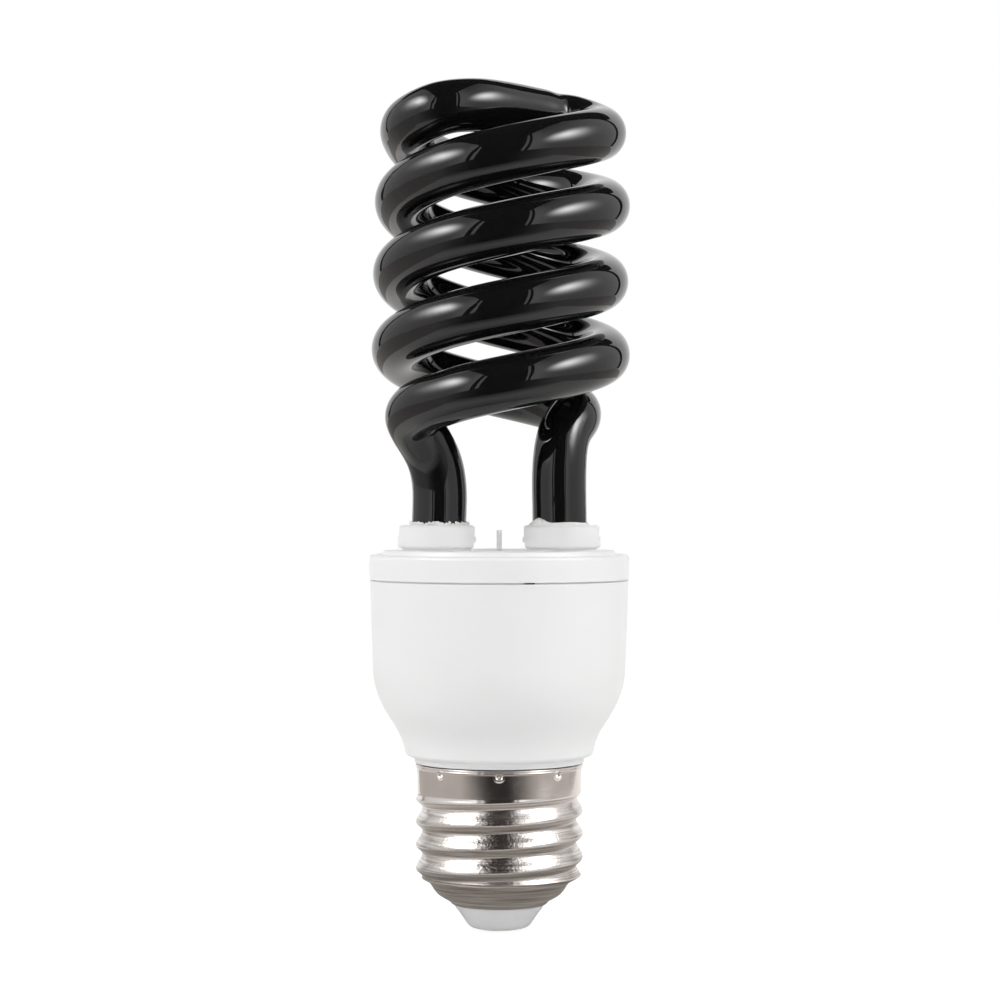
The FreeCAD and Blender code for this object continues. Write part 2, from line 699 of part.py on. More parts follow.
def tube_holder():
    """Cover with its skirt, the two collars and the pip between them, and a notch in the seam in front."""
    skirt_r = housing_inner_radius(SKIRT_BOTTOM_Z) - FIT
    seam_r = COVER_R - SEAM_DEPTH
    seam_z = HOUSING_TOP_Z + SEAM_GAP
    under = COVER_TOP_Z - COVER_WALL
    edges = lines([
        (0, under), (skirt_r - SKIRT_WALL, under), (skirt_r - SKIRT_WALL, SKIRT_BOTTOM_Z),
        (skirt_r, SKIRT_BOTTOM_Z), (skirt_r, HOUSING_TOP_Z), (seam_r, HOUSING_TOP_Z),
        (seam_r, seam_z), (COVER_R, seam_z), (COVER_R, COVER_EDGE_Z - EDGE_ROUND),
    ])
    edges.append(corner(COVER_R - EDGE_ROUND, COVER_EDGE_Z - EDGE_ROUND, EDGE_ROUND, 0, True))
    edges += lines([
        (COVER_R - EDGE_ROUND, COVER_EDGE_Z), (COVER_DISC_R, COVER_EDGE_Z),
        (COVER_DISC_R - COVER_RISE / 2, COVER_TOP_Z), (0, COVER_TOP_Z), (0, under),
    ])
    cover = revolve(edges)
    collars = collar(-COLLAR_X).fuse(collar(COLLAR_X))
    collars = collars.cut(cylinder(COLLAR_UNDERCUT_R, COVER_TOP_Z, COVER_TOP_Z + COLLAR_UNDERCUT_H))
    cover = cover.fuse(collars).fuse(cylinder(PIP_R, COVER_TOP_Z, COVER_TOP_Z + PIP_H))
    cover = cover.fuse(latches(skirt_r)).fuse(hold_down_posts(skirt_r))
    for x in (-LEG_X, LEG_X):
        cover = cover.cut(cylinder(LEG_R + CEMENT_GAP, under, COLLAR_TOP_Z, x))
    notch = box(NOTCH_W, 2 * NOTCH_DEPTH, HOUSING_TOP_Z, seam_z, NOTCH_X, -COVER_R)
    return cover.cut(notch)


def latches(skirt_r):
    """Short ribs round the skirt that snap into the housing's groove."""
    top = LATCH_Z + LATCH_H
    ring = cylinder(skirt_r + LATCH_OUT, LATCH_Z, top).cut(cylinder(skirt_r, LATCH_Z, top))
    latches = []
    for angle in ring_positions(LATCHES, LATCH_TURN_DEG):
        bar = box(4 * LATCH_OUT, LATCH_W, LATCH_Z, top, skirt_r)
        bar.rotate(Vector(0, 0, 0), Vector(0, 0, 1), angle)
        latches.append(bar)
    return ring.common(latches[0].fuse(latches[1:]))


def hold_down_posts(skirt_r):
    """Two posts that hang from the cover's skirt and hold the board down on its ribs."""
    reach = skirt_r - BOARD_R + POST_T
    outer_r = housing_inner_radius(BOARD_TOP) - FIT
    posts = []
    for side in (-1, 1):
        middle = side * (skirt_r - reach / 2)
        posts.append(box(POST_W, reach, BOARD_TOP, COVER_TOP_Z - COVER_WALL, 0, middle))
    return posts[0].fuse(posts[1]).common(cylinder(outer_r, BOARD_TOP, COVER_TOP_Z))


# Pieces on the circuit board

def bent_wire(points, radius, bend):
    """Round wire of straight runs joined by tangent arcs."""
    spots = [Vector(*p) for p in points]
    edges = []
    last = spots[0]
    for before, at, after in zip(spots, spots[1:], spots[2:]):
        back = (before - at).normalize()
        ahead = (after - at).normalize()
        half = back.getAngle(ahead) / 2
        cut = bend / math.tan(half)
        middle = at + (back + ahead).normalize() * (bend / math.sin(half) - bend)
        edges.append(Part.makeLine(last, at + back * cut))
        edges.append(Part.Arc(at + back * cut, middle, at + ahead * cut).toShape())
        last = at + ahead * cut
    edges.append(Part.makeLine(last, spots[-1]))
    path = Part.Wire(edges)
    ring = Part.Wire([Part.makeCircle(radius, spots[0], spots[1] - spots[0])])
    return path.makePipeShell([ring], True, False)


def leg(x, y, bottom, top):
    """Square lead of a piece on the board."""
    return box(LEAD_W, LEAD_W, bottom, top, x, y)


def axial_legs(x, y, turn_deg, reach):
    """Where the two legs of a piece go through the board."""
    angle = math.radians(turn_deg)
    step = Vector(math.cos(angle), math.sin(angle), 0) * reach
    return [(x - step.x, y - step.y), (x + step.x, y + step.y)]


def axial_piece(x, y, body_r, body_l):
    """Round body lying on the board, with two leads bent down through it."""
    height = BOARD_TOP + body_r
    reach = body_l / 2 + LEAD_STUB
    body = Part.makeCylinder(body_r, body_l, Vector(-body_l / 2, 0, height), Vector(1, 0, 0))
    lead = box(2 * reach, LEAD_W, height - LEAD_W / 2, height + LEAD_W / 2)
    legs = [leg(side * reach, 0, BOARD_Z - SOLDER_SIDE, height + LEAD_W / 2) for side in (-1, 1)]
    solid = body.fuse([lead] + legs)
    solid.translate(Vector(x, y, 0))
    return solid


def upright_edges(solid):
    return [edge for edge in solid.Edges if abs(edge.tangentAt(edge.FirstParameter).z) > 0.9]


def film_capacitor(x, y, turn_deg, size_x, size_y, height):
    """Dipped block with rounded edges on two leads."""
    block = box(size_x, size_y, BOARD_TOP, BOARD_TOP + height)
    block = block.makeFillet(size_y / 5, upright_edges(block))
    legs = [leg(side * FILM_LEG * size_x, 0, BOARD_Z - SOLDER_SIDE, BOARD_TOP) for side in (-1, 1)]
    solid = block.fuse(legs)
    solid.rotate(Vector(0, 0, 0), Vector(0, 0, 1), turn_deg)
    solid.translate(Vector(x, y, 0))
    return solid


def transistor(x, y, turn_deg):
    """Moulded body, round at the back and flat in front, on three legs."""
    base = BOARD_TOP + TRANSISTOR_LIFT
    body = cylinder(TRANSISTOR_R, base, base + TRANSISTOR_H)
    body = body.cut(box(3 * TRANSISTOR_R, TRANSISTOR_R, base, base + TRANSISTOR_H, 0, -TRANSISTOR_R))
    legs = [leg(i * TRANSISTOR_PITCH, 0, BOARD_Z - SOLDER_SIDE, base) for i in (-1, 0, 1)]
    solid = body.fuse(legs)
    solid.rotate(Vector(0, 0, 0), Vector(0, 0, 1), turn_deg)
    solid.translate(Vector(x, y, 0))
    return solid


def choke_core():
    """Two E-shaped ferrite halves, back to back, as one block with two windows."""
    core = box(CHOKE_W, CHOKE_D, BOARD_TOP, BOARD_TOP + CHOKE_H, 0, CHOKE_Y)
    window = (CHOKE_W - 2 * CHOKE_SIDE - CHOKE_LEG) / 2
    for side in (-1, 1):
        middle = side * (CHOKE_LEG + window) / 2
        bottom = BOARD_TOP + CHOKE_YOKE
        core = core.cut(box(window, CHOKE_D, bottom, BOARD_TOP + CHOKE_H - CHOKE_YOKE, middle, CHOKE_Y))
    return core


def choke_size(outer):
    """Breadth and depth of the bobbin's barrel (outer 0) or of its flanges (outer 1)."""
    window = (CHOKE_W - 2 * CHOKE_SIDE - CHOKE_LEG) / 2
    barrel = 2 * (FIT + BOBBIN_WALL)
    breadth = CHOKE_LEG + (2 * (window - FIT) if outer else barrel)
    depth = CHOKE_D + (2 * (window - FIT) if outer else barrel)
    return breadth, depth


def choke_bobbin():
    bottom = BOARD_TOP + CHOKE_YOKE + FIT
    top = BOARD_TOP + CHOKE_H - CHOKE_YOKE - FIT
    flange_x, flange_y = choke_size(1)
    barrel_x, barrel_y = choke_size(0)
    bobbin = box(barrel_x, barrel_y, bottom, top, 0, CHOKE_Y)
    bobbin = bobbin.fuse(box(flange_x, flange_y, bottom, bottom + BOBBIN_WALL, 0, CHOKE_Y))
    bobbin = bobbin.fuse(box(flange_x, flange_y, top - BOBBIN_WALL, top, 0, CHOKE_Y))
    bobbin = bobbin.cut(box(CHOKE_LEG + 2 * FIT, CHOKE_D + 2 * FIT, bottom, top, 0, CHOKE_Y))
    for x, y in choke_pins():
        bobbin = bobbin.fuse(leg(x, y, BOARD_Z - SOLDER_SIDE, bottom))
    return bobbin


def choke_pins():
    flange_x, flange_y = choke_size(1)
    across = flange_x / 2 - 1.5 * LEAD_W
    along = flange_y / 2 - LEAD_W
    return [(i * across, CHOKE_Y + j * along) for i in (-1, 1) for j in (-1, 1)]


def choke_winding():
    bottom = BOARD_TOP + CHOKE_YOKE + FIT + BOBBIN_WALL
    top = BOARD_TOP + CHOKE_H - CHOKE_YOKE - FIT - BOBBIN_WALL
    flange_x, flange_y = choke_size(1)
    barrel_x, barrel_y = choke_size(0)
    coil = box(flange_x - 2 * FIT, flange_y - 2 * FIT, bottom, top, 0, CHOKE_Y)
    coil = coil.makeFillet(CHOKE_ROUND, upright_edges(coil))
    return coil.cut(box(barrel_x, barrel_y, bottom, top, 0, CHOKE_Y))


def ring_core():
    """Small ferrite ring of the drive transformer, lying flat on its windings."""
    bottom = BOARD_TOP + WINDING_T + WINDING_GAP
    ring = cylinder(RING_R, bottom, bottom + RING_H, RING_X, RING_Y)
    return ring.cut(cylinder(RING_HOLE_R, bottom, bottom + RING_H, RING_X, RING_Y))


def ring_winding_angles():
    """Three windings of two turns each, side by side round the ring."""
    return [start + step for start in ring_positions(3, 20.0) for step in (0.0, 32.0)]


def ring_windings():
    """Turns of flat wire round the ring, each with a leg through the board."""
    slack = WINDING_GAP
    inner = RING_HOLE_R - slack - WINDING_T
    outer = RING_R + slack + WINDING_T
    middle = (inner + outer) / 2
    height = RING_H + 2 * (slack + WINDING_T)
    turns = []
    for angle in ring_winding_angles():
        turn = box(outer - inner, WINDING_T, BOARD_TOP, BOARD_TOP + height, middle)
        bottom = BOARD_TOP + WINDING_T
        top = bottom + RING_H + 2 * slack
        turn = turn.cut(box(outer - inner - 2 * WINDING_T, WINDING_T, bottom, top, middle))
        turn = turn.fuse(box(WINDING_T, WINDING_T, BOARD_Z - SOLDER_SIDE, BOARD_TOP, outer - WINDING_T / 2))
        turn.rotate(Vector(0, 0, 0), Vector(0, 0, 1), angle)
        turn.translate(Vector(RING_X, RING_Y, 0))
        turns.append(turn)
    return Part.makeCompound(turns)


def ring_legs():
    reach = RING_R + WINDING_GAP + WINDING_T / 2
    angles = [math.radians(a) for a in ring_winding_angles()]
    return [(RING_X + reach * math.cos(a), RING_Y + reach * math.sin(a)) for a in angles]


def smoothing_capacitor():
    """Electrolytic can that hangs on its leads from the board into the neck, with its crimped end up."""
    top = BOARD_Z - CAN_DROP
    bottom = top - CAN_L
    crimp = top - CAN_CRIMP
    can = revolve(lines([
        (0, bottom), (CAN_R - CAN_ROUND, bottom), (CAN_R, bottom + CAN_ROUND), (CAN_R, crimp - CAN_ROUND),
        (CAN_R - CAN_ROUND, crimp), (CAN_R, crimp + CAN_ROUND), (CAN_R, top), (0, top), (0, bottom),
    ]))
    for x, y in can_legs():
        can = can.fuse(leg(x, y, top, BOARD_TOP + SOLDER_SIDE))
    return can


def can_legs():
    return [(-CAN_LEG_X, 0.0), (CAN_LEG_X, 0.0)]


def fuse_resistor():
    """Fusible resistor beside the can; its lower lead runs down into the centre contact."""
    body = cylinder(FUSE_R, FUSE_BOTTOM_Z, FUSE_BOTTOM_Z + FUSE_L, FUSE_X)
    upper = cylinder(LEAD_R, FUSE_BOTTOM_Z + FUSE_L, BOARD_TOP + SOLDER_SIDE, FUSE_X)
    low = CONTACT_TOP_Z + FUSE_LEAD_RISE
    seat = CONTACT_TOP_Z - 0.8 * CONTACT_BORE_DEPTH
    way = [(FUSE_X, 0, FUSE_BOTTOM_Z), (FUSE_X, 0, FUSE_LEAD_Z), (0, 0, low), (0, 0, seat)]
    return body.fuse([upper, bent_wire(way, LEAD_R, WIRE_BEND)])


def shell_lead_radius():
    """How far out the shell's lead runs down, just inside the spigot."""
    return spigot_radius() - SPIGOT_WALL - 3 * LEAD_R


def shell_lead_place():
    angle = math.radians(SHELL_LEAD_DEG)
    return shell_lead_radius() * math.cos(angle), shell_lead_radius() * math.sin(angle)


def shell_lead():
    """Bare wire from the board down inside the neck and out to the sheet under the spigot."""
    angle = math.radians(SHELL_LEAD_DEG)
    low = SPIGOT_BOTTOM_Z - 2 * LEAD_R
    inside = shell_lead_radius()
    sheet = CAP_ROOT_R - CAP_SHEET - FIT
    way = [(inside, BOARD_TOP + SOLDER_SIDE), (inside, low), (sheet, low - 2 * WIRE_BEND)]
    return bent_wire([(r * math.cos(angle), r * math.sin(angle), z) for r, z in way], LEAD_R, WIRE_BEND)


def pin_places():
    return [(i * PIN_X, j * PIN_Y) for i in (-1, 1) for j in (-1, 1)]


def wrap_pins():
    """Square pins at the board's edge that the tube's wires are wound on."""
    bottom = BOARD_Z - SOLDER_SIDE
    return Part.makeCompound([box(PIN_W, PIN_W, bottom, BOARD_TOP + PIN_H, x, y) for x, y in pin_places()])


def filament_leads():
    """Two wires from each end of the tube to the pins beside it."""
    wires = []
    for x, y in pin_places():
        side = math.copysign(1, x)
        start = Vector(side * (LEG_X + FILAMENT_R), y, tube_foot_z() - FILAMENT_R)
        end = Vector(side * (PIN_X - PIN_W / 2 - FILAMENT_R), y, BOARD_TOP + 0.8 * PIN_H)
        wires.append(Part.makeCylinder(FILAMENT_R, (end - start).Length, start, end - start))
    return Part.makeCompound(wires)


def lead_holes():
    """Every place where a lead passes the board, with its turn."""
    holes = [(x, y, 0.0) for x, y in list(choke_pins()) + can_legs() + [(FUSE_X, 0.0)]]
    for x, y, kind in AXIAL.values():
        reach = BODIES[kind][1] / 2 + LEAD_STUB
        holes += [(*place, 0.0) for place in axial_legs(x, y, 0.0, reach)]
    for piece in FILM.values():
        x, y, turn = piece["x"], piece["y"], piece["turn_deg"]
        holes += [(*place, turn) for place in axial_legs(x, y, turn, FILM_LEG * piece["size_x"])]
    for piece in TRANSISTORS.values():
        x, y, turn = piece["x"], piece["y"], piece["turn_deg"]
        holes += [(*place, turn) for place in [(x, y)] + axial_legs(x, y, turn, TRANSISTOR_PITCH)]
    holes += [(*place, angle) for place, angle in zip(ring_legs(), ring_winding_angles())]
    return holes + [(*shell_lead_place(), SHELL_LEAD_DEG)]


def circuit_board():
    board = cylinder(BOARD_R, BOARD_Z, BOARD_TOP)
    wide = 2 * (LEAD_R + HOLE_CLEAR)
    cuts = [box(wide, wide, BOARD_Z, BOARD_TOP, *place) for place in lead_holes()]
    slot = PIN_W + 2 * HOLE_CLEAR
    cuts += [box(slot, slot, BOARD_Z, BOARD_TOP, x, y) for x, y in pin_places()]
    return board.cut(cuts)


def make_parts():
    parts = {
        "spiral_tube": spiral_tube(),
        "tube_cement_left": cement(-LEG_X),
        "tube_cement_right": cement(LEG_X),
        "tube_holder": tube_holder(),
        "ballast_housing": ballast_housing(),
        "screw_shell": screw_shell(),
        "cap_insulator": cap_insulator(),
        "centre_contact": centre_contact(),
        "circuit_board": circuit_board(),
        "choke_core": choke_core(),
        "choke_bobbin": choke_bobbin(),
        "choke_winding": choke_winding(),
        "drive_ring_core": ring_core(),
        "drive_ring_windings": ring_windings(),
        "smoothing_capacitor": smoothing_capacitor(),
        "fuse_resistor": fuse_resistor(),
        "shell_lead": shell_lead(),
        "wrap_pins": wrap_pins(),
        "filament_leads": filament_leads(),
    }
    for name, place in FILM.items():
        parts[name] = film_capacitor(**place)
    for name, place in TRANSISTORS.items():
        parts[name] = transistor(**place)
    for name, (x, y, kind) in AXIAL.items():
        parts[name] = axial_piece(x, y, *BODIES[kind])
    return parts


def main():
    os.makedirs("parts", exist_ok=True)
    for name, shape in make_parts().items():
        shape.exportStep("parts/" + name + ".step")


main()
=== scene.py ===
import math
import random

import bmesh
import bpy
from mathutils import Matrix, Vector, noise


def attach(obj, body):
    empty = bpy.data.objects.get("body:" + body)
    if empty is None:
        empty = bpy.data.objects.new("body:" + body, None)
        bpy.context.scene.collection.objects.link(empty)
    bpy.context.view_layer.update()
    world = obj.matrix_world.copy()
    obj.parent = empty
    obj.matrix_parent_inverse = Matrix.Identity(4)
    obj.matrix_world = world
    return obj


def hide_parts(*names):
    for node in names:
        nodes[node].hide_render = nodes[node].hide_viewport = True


# Looks of the black-glass spiral lamp. Metres, in the frame of the CAD part: +Z up the lamp's
# axis, the tip contact on the floor at the origin, the tube's legs on the X axis.

MM = 0.001

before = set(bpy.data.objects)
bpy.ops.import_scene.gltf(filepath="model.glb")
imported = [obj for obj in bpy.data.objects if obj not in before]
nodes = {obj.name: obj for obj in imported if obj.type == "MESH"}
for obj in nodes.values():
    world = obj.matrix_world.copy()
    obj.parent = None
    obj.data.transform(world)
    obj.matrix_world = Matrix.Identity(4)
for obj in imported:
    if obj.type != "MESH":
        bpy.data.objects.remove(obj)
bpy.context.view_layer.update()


# Node helpers. Sockets of a Mix node share their names, so they go by number: 0 is the share,
# 6 and 7 are the colours and output 2 is the result, or 2, 3 and output 0 for plain values.

RGBA = {"data_type": "RGBA"}
SOFT = {"interpolation_type": "SMOOTHSTEP"}


def srgb(code):
    """Linear colour of an sRGB hex value."""
    parts = [int(code[i:i + 2], 16) / 255 for i in (1, 3, 5)]
    linear = [c / 12.92 if c <= 0.04045 else ((c + 0.055) / 1.055) ** 2.4 for c in parts]
    return (*linear, 1.0)


def per_mm(size):
    """Texture scale at which one feature is about this many millimetres across."""
    return 1 / (size * MM)


def add(tree, kind, settings, inputs):
    """Adds a shader node with its settings; each input gets a value or a link from a socket."""
    node = tree.nodes.new("ShaderNode" + kind)
    for name, value in settings.items():
        setattr(node, name, value)
    for name, value in inputs.items():
        if isinstance(value, bpy.types.NodeSocket):
            tree.links.new(value, node.inputs[name])
        else:
            node.inputs[name].default_value = value
    return node


def new_material(name):
    """Empty node material and the object-space coordinates that its patterns use."""
    material = bpy.data.materials.new(name)
    material.use_nodes = True
    tree = material.node_tree
    tree.nodes.clear()
    place = add(tree, "TexCoord", {}, {}).outputs["Object"]
    return material, tree, place


def close(tree, shader):
    add(tree, "OutputMaterial", {}, {"Surface": shader.outputs[0]})


# Finishes of the outside

def black_light_glass():
    """Drawn glass, stained nearly black in the melt so that it only passes near-ultraviolet. Its
    polish gives sharp reflections of the lights, and the drawing leaves slow waves in them."""
    material, tree, place = new_material("black_light_glass")
    stain = add(tree, "TexNoise", {}, {"Vector": place, "Scale": per_mm(9), "Detail": 2})
    colour = add(tree, "Mix", RGBA, {
        0: stain.outputs[0], 6: srgb("#0e0e0f"), 7: srgb("#101012"),
    })
    wipe = add(tree, "TexNoise", {}, {"Vector": place, "Scale": per_mm(5), "Detail": 3})
    polish = add(tree, "MapRange", {}, {
        "Value": wipe.outputs[0], "From Min": 0.45, "From Max": 0.8,
        "To Min": 0.015, "To Max": 0.05,
    })
    wave = add(tree, "TexNoise", {}, {"Vector": place, "Scale": per_mm(11), "Detail": 1})
    bump = add(tree, "Bump", {}, {
        "Height": wave.outputs[0], "Strength": 0.5, "Distance": 0.06 * MM,
    })
    shader = add(tree, "BsdfPrincipled", {}, {
        "Base Color": colour.outputs[2], "Roughness": polish.outputs[0], "IOR": 1.52,
        "Normal": bump.outputs[0],
    })
    close(tree, shader)
    return material


def moulded_polyester():
    """White polyester (PBT) from a polished and lightly blasted mould: a satin skin with a fine,
    even grain and very slow changes of gloss where the melt flowed."""
    material, tree, place = new_material("moulded_polyester")
    flow = add(tree, "TexNoise", {}, {"Vector": place, "Scale": per_mm(14), "Detail": 2})
    colour = add(tree, "Mix", RGBA, {
        0: flow.outputs[0], 6: srgb("#ededed"), 7: srgb("#f2f2f2"),
    })
    gloss = add(tree, "MapRange", {}, {
        "Value": flow.outputs[0], "From Min": 0.3, "From Max": 0.7,
        "To Min": 0.34, "To Max": 0.44,
    })
    grain = add(tree, "TexNoise", {}, {"Vector": place, "Scale": per_mm(0.35), "Detail": 2})
    bump = add(tree, "Bump", {}, {
        "Height": grain.outputs[0], "Strength": 0.35, "Distance": 0.01 * MM,
    })
    shader = add(tree, "BsdfPrincipled", {}, {
        "Base Color": colour.outputs[2], "Roughness": gloss.outputs[0], "IOR": 1.5,
        "Normal": bump.outputs[0],
    })
    close(tree, shader)
    return material


def tube_cement():
    """White mineral cement, smeared round the legs by hand and dried: chalky, with grains and
    pits."""
    material, tree, place = new_material("tube_cement")
    patch = add(tree, "TexNoise", {}, {"Vector": place, "Scale": per_mm(1.2), "Detail": 4})
    colour = add(tree, "Mix", RGBA, {
        0: patch.outputs[0], 6: srgb("#e9e8e5"), 7: srgb("#f8f8f7"),
    })
    grain = add(tree, "TexNoise", {}, {"Vector": place, "Scale": per_mm(0.3), "Detail": 5})
    bump = add(tree, "Bump", {}, {
        "Height": grain.outputs[0], "Strength": 0.8, "Distance": 0.12 * MM,
    })
    shader = add(tree, "BsdfPrincipled", {}, {
        "Base Color": colour.outputs[2], "Roughness": 0.9, "IOR": 1.5, "Normal": bump.outputs[0],
    })
    close(tree, shader)
    return material


# Heights on the cap, in mm: the top of its bowl and the top of its thread
CONE_TOP_Z = 8.4
THREAD_TOP_Z = 20.2


def nickel_plate():
    """Bright nickel on rolled sheet. The skirt keeps the polish of the rolls, with fine lines
    round the axis. The thread is rubbed dull and pitted by its die, and the bowl was drawn and is
    satin and darker."""
    material, tree, place = new_material("nickel_plate")
    height = add(tree, "SeparateXYZ", {}, {"Vector": place}).outputs["Z"]
    drawn = add(tree, "MapRange", SOFT, {
        "Value": height,
        "From Min": (CONE_TOP_Z + 1.2) * MM, "From Max": (CONE_TOP_Z - 0.6) * MM,
    }).outputs[0]
    barrel = add(tree, "MapRange", SOFT, {
        "Value": height,
        "From Min": (THREAD_TOP_Z + 1.5) * MM, "From Max": (THREAD_TOP_Z - 3) * MM,
    }).outputs[0]
    tarnish = add(tree, "TexNoise", {}, {"Vector": place, "Scale": per_mm(3.5), "Detail": 4})
    pits = add(tree, "TexNoise", {}, {"Vector": place, "Scale": per_mm(0.45), "Detail": 4})
    lines = add(tree, "Mapping", {}, {"Vector": place, "Scale": (0.03, 0.03, 1.0)})
    rolled = add(tree, "TexNoise", {}, {
        "Vector": lines.outputs[0], "Scale": per_mm(0.3), "Detail": 3,
    })
    streak = add(tree, "MapRange", {}, {
        "Value": rolled.outputs[0], "From Min": 0.35, "From Max": 0.65,
    })

    bright = add(tree, "Mix", RGBA, {
        0: tarnish.outputs[0], 6: srgb("#ddd6d2"), 7: srgb("#ebe5e1"),
    })
    worn = add(tree, "Mix", RGBA, {
        0: streak.outputs[0], 6: srgb("#b3aaa4"), 7: srgb("#e8e3df"),
    })
    matt = add(tree, "Mix", RGBA, {
        0: streak.outputs[0], 6: srgb("#a3988f"), 7: srgb("#e9e0d9"),
    })
    upper = add(tree, "Mix", RGBA, {0: barrel, 6: bright.outputs[2], 7: worn.outputs[2]})
    colour = add(tree, "Mix", RGBA, {0: drawn, 6: upper.outputs[2], 7: matt.outputs[2]})

    smear = add(tree, "MapRange", {}, {
        "Value": tarnish.outputs[0], "From Min": 0.4, "From Max": 0.75,
        "To Min": 0.09, "To Max": 0.15,
    })
    rubbed = add(tree, "MapRange", SOFT, {
        "Value": height, "From Min": THREAD_TOP_Z * MM, "From Max": (THREAD_TOP_Z + 2) * MM,
        "To Min": 0.1, "To Max": 0.0,
    })
    dull = add(tree, "Math", {"operation": "ADD"}, {0: smear.outputs[0], 1: rubbed.outputs[0]})
    satin = add(tree, "MapRange", {}, {
        "Value": rolled.outputs[0], "From Min": 0.3, "From Max": 0.7,
        "To Min": 0.32, "To Max": 0.46,
    })
    polish = add(tree, "Mix", {}, {0: drawn, 2: dull.outputs[0], 3: satin.outputs[0]})

    scored = add(tree, "Bump", {}, {
        "Height": rolled.outputs[0], "Strength": 0.3, "Distance": 0.012 * MM,
    })
    pitted = add(tree, "Bump", {}, {
        "Height": pits.outputs[0], "Strength": barrel, "Distance": 0.05 * MM,
        "Normal": scored.outputs[0],
    })
    shader = add(tree, "BsdfPrincipled", {}, {
        "Base Color": colour.outputs[2], "Metallic": 1.0, "Roughness": polish.outputs[0],
        "Normal": pitted.outputs[0],
    })
    close(tree, shader)
    return material


def opal_glass():
    """Pressed opal glass of the cap's insulator: milky white, glossy, faintly orange-peeled."""
    material, tree, place = new_material("opal_glass")
    cloud = add(tree, "TexNoise", {}, {"Vector": place, "Scale": per_mm(2.5), "Detail": 3})
    colour = add(tree, "Mix", RGBA, {
        0: cloud.outputs[0], 6: srgb("#e3e4e5"), 7: srgb("#ededee"),
    })
    peel = add(tree, "TexNoise", {}, {"Vector": place, "Scale": per_mm(0.8), "Detail": 1})
    bump = add(tree, "Bump", {}, {
        "Height": peel.outputs[0], "Strength": 0.4, "Distance": 0.02 * MM,
    })
    shader = add(tree, "BsdfPrincipled", {}, {
        "Base Color": colour.outputs[2], "Roughness": 0.2, "IOR": 1.52, "Normal": bump.outputs[0],
    })
    close(tree, shader)
    return material


# Finishes of the pieces inside

METAL = {"Metallic": 1.0}


def inner_finish(name, low, high, patch_mm, roughness, grain_mm, relief_mm, **sockets):
    """Finish of a piece inside: two shades in patches, and a grain of its own size and depth."""
    material, tree, place = new_material(name)
    patch = add(tree, "TexNoise", {}, {"Vector": place, "Scale": per_mm(patch_mm), "Detail": 3})
    colour = add(tree, "Mix", RGBA, {0: patch.outputs[0], 6: srgb(low), 7: srgb(high)})
    grain = add(tree, "TexNoise", {}, {"Vector": place, "Scale": per_mm(grain_mm), "Detail": 3})
    bump = add(tree, "Bump", {}, {
        "Height": grain.outputs[0], "Strength": 0.5, "Distance": relief_mm * MM,
    })
    shader = add(tree, "BsdfPrincipled", {}, {
        "Base Color": colour.outputs[2], "Roughness": roughness, "Normal": bump.outputs[0],
        **sockets,
    })
    close(tree, shader)
    return material


finishes = {
    "black_glass": black_light_glass(),
    "white_plastic": moulded_polyester(),
    "cement": tube_cement(),
    "nickel_plate": nickel_plate(),
    "insulator_glass": opal_glass(),
    # pressed phenolic paper, brown, with the fibres of the paper showing
    "board": inner_finish("phenolic_paper", "#a8834a", "#b9945a", 1.5, 0.5, 0.4, 0.02),
    # sintered and ground ceramic, dark grey and dull
    "ferrite": inner_finish("sintered_ferrite", "#2b2b2d", "#38383a", 2.0, 0.7, 0.25, 0.03),
    # moulded nylon, near black, with a low sheen
    "bobbin_plastic": inner_finish("bobbin_nylon", "#26262a", "#303034", 3.0, 0.55, 0.4, 0.01),
    # drawn copper under clear enamel, shiny over the ridges of its turns
    "enamelled_copper": inner_finish(
        "enamelled_copper", "#a5572b", "#c4743c", 1.0, 0.25, 0.4, 0.05, **METAL),
    # dipped and cured resin, glossy, and wavy where it ran
    "film_dip": inner_finish("dipped_epoxy", "#7d2518", "#93301f", 2.5, 0.25, 2.0, 0.1),
    # vinyl sleeve shrunk on the can, dark blue and glossy
    "can_sleeve": inner_finish("shrunk_sleeve", "#1a2136", "#222b44", 4.0, 0.3, 1.0, 0.02),
    # resin moulded in a blasted tool, black and matt
    "black_epoxy": inner_finish("moulded_epoxy", "#1b1b1c", "#242425", 1.5, 0.6, 0.2, 0.01),
    # fired glass bead, orange-brown with a hard gloss
    "diode_glass": inner_finish("diode_glass", "#8c3a22", "#a34b2c", 1.2, 0.15, 0.8, 0.02),
    # dipped lacquer, beige and a little lumpy
    "resistor_lacquer": inner_finish(
        "resistor_lacquer", "#b79b6e", "#c8ae82", 1.0, 0.4, 0.6, 0.02),
    # wire drawn through molten tin, pale grey with a soft shine
    "tinned_wire": inner_finish(
        "tinned_wire", "#b9b9b6", "#cfcfcc", 0.8, 0.35, 0.3, 0.01, **METAL),
}


def slot_of(node):
    """The record's slot that a node's packed material is named for."""
    name = nodes[node].material_slots[0].material.name
    return next(slot for slot in finishes if name.startswith(slot))


for name in nodes:
    nodes[name].material_slots[0].material = finishes[slot_of(name)]


# Pieces made here, in mm, finer than the solids that they stand for: the rolled shell of the cap,
# its pressed insulator, and the cement round the legs

def smooth(t):
    t = min(1.0, max(0.0, t))
    return t * t * (3 - 2 * t)


def bell(away, width):
    return math.exp(-(away / width) ** 2)


def drawn_line(points, cuts):
    """Smooth line through points, with each span cut into equal parts."""
    ends = [points[0]] + points + [points[-1]]
    line = []
    for before, start, end, after in zip(ends, ends[1:], ends[2:], ends[3:]):
        for t in [i / cuts for i in range(cuts)]:
            line.append(tuple(
                (2 * q + (r - p) * t + (2 * p - 5 * q + 4 * r - s) * t * t
                 + (3 * (q - r) - p + s) * t ** 3) / 2
                for p, q, r, s in zip(before, start, end, after)
            ))
    return line + [points[-1]]


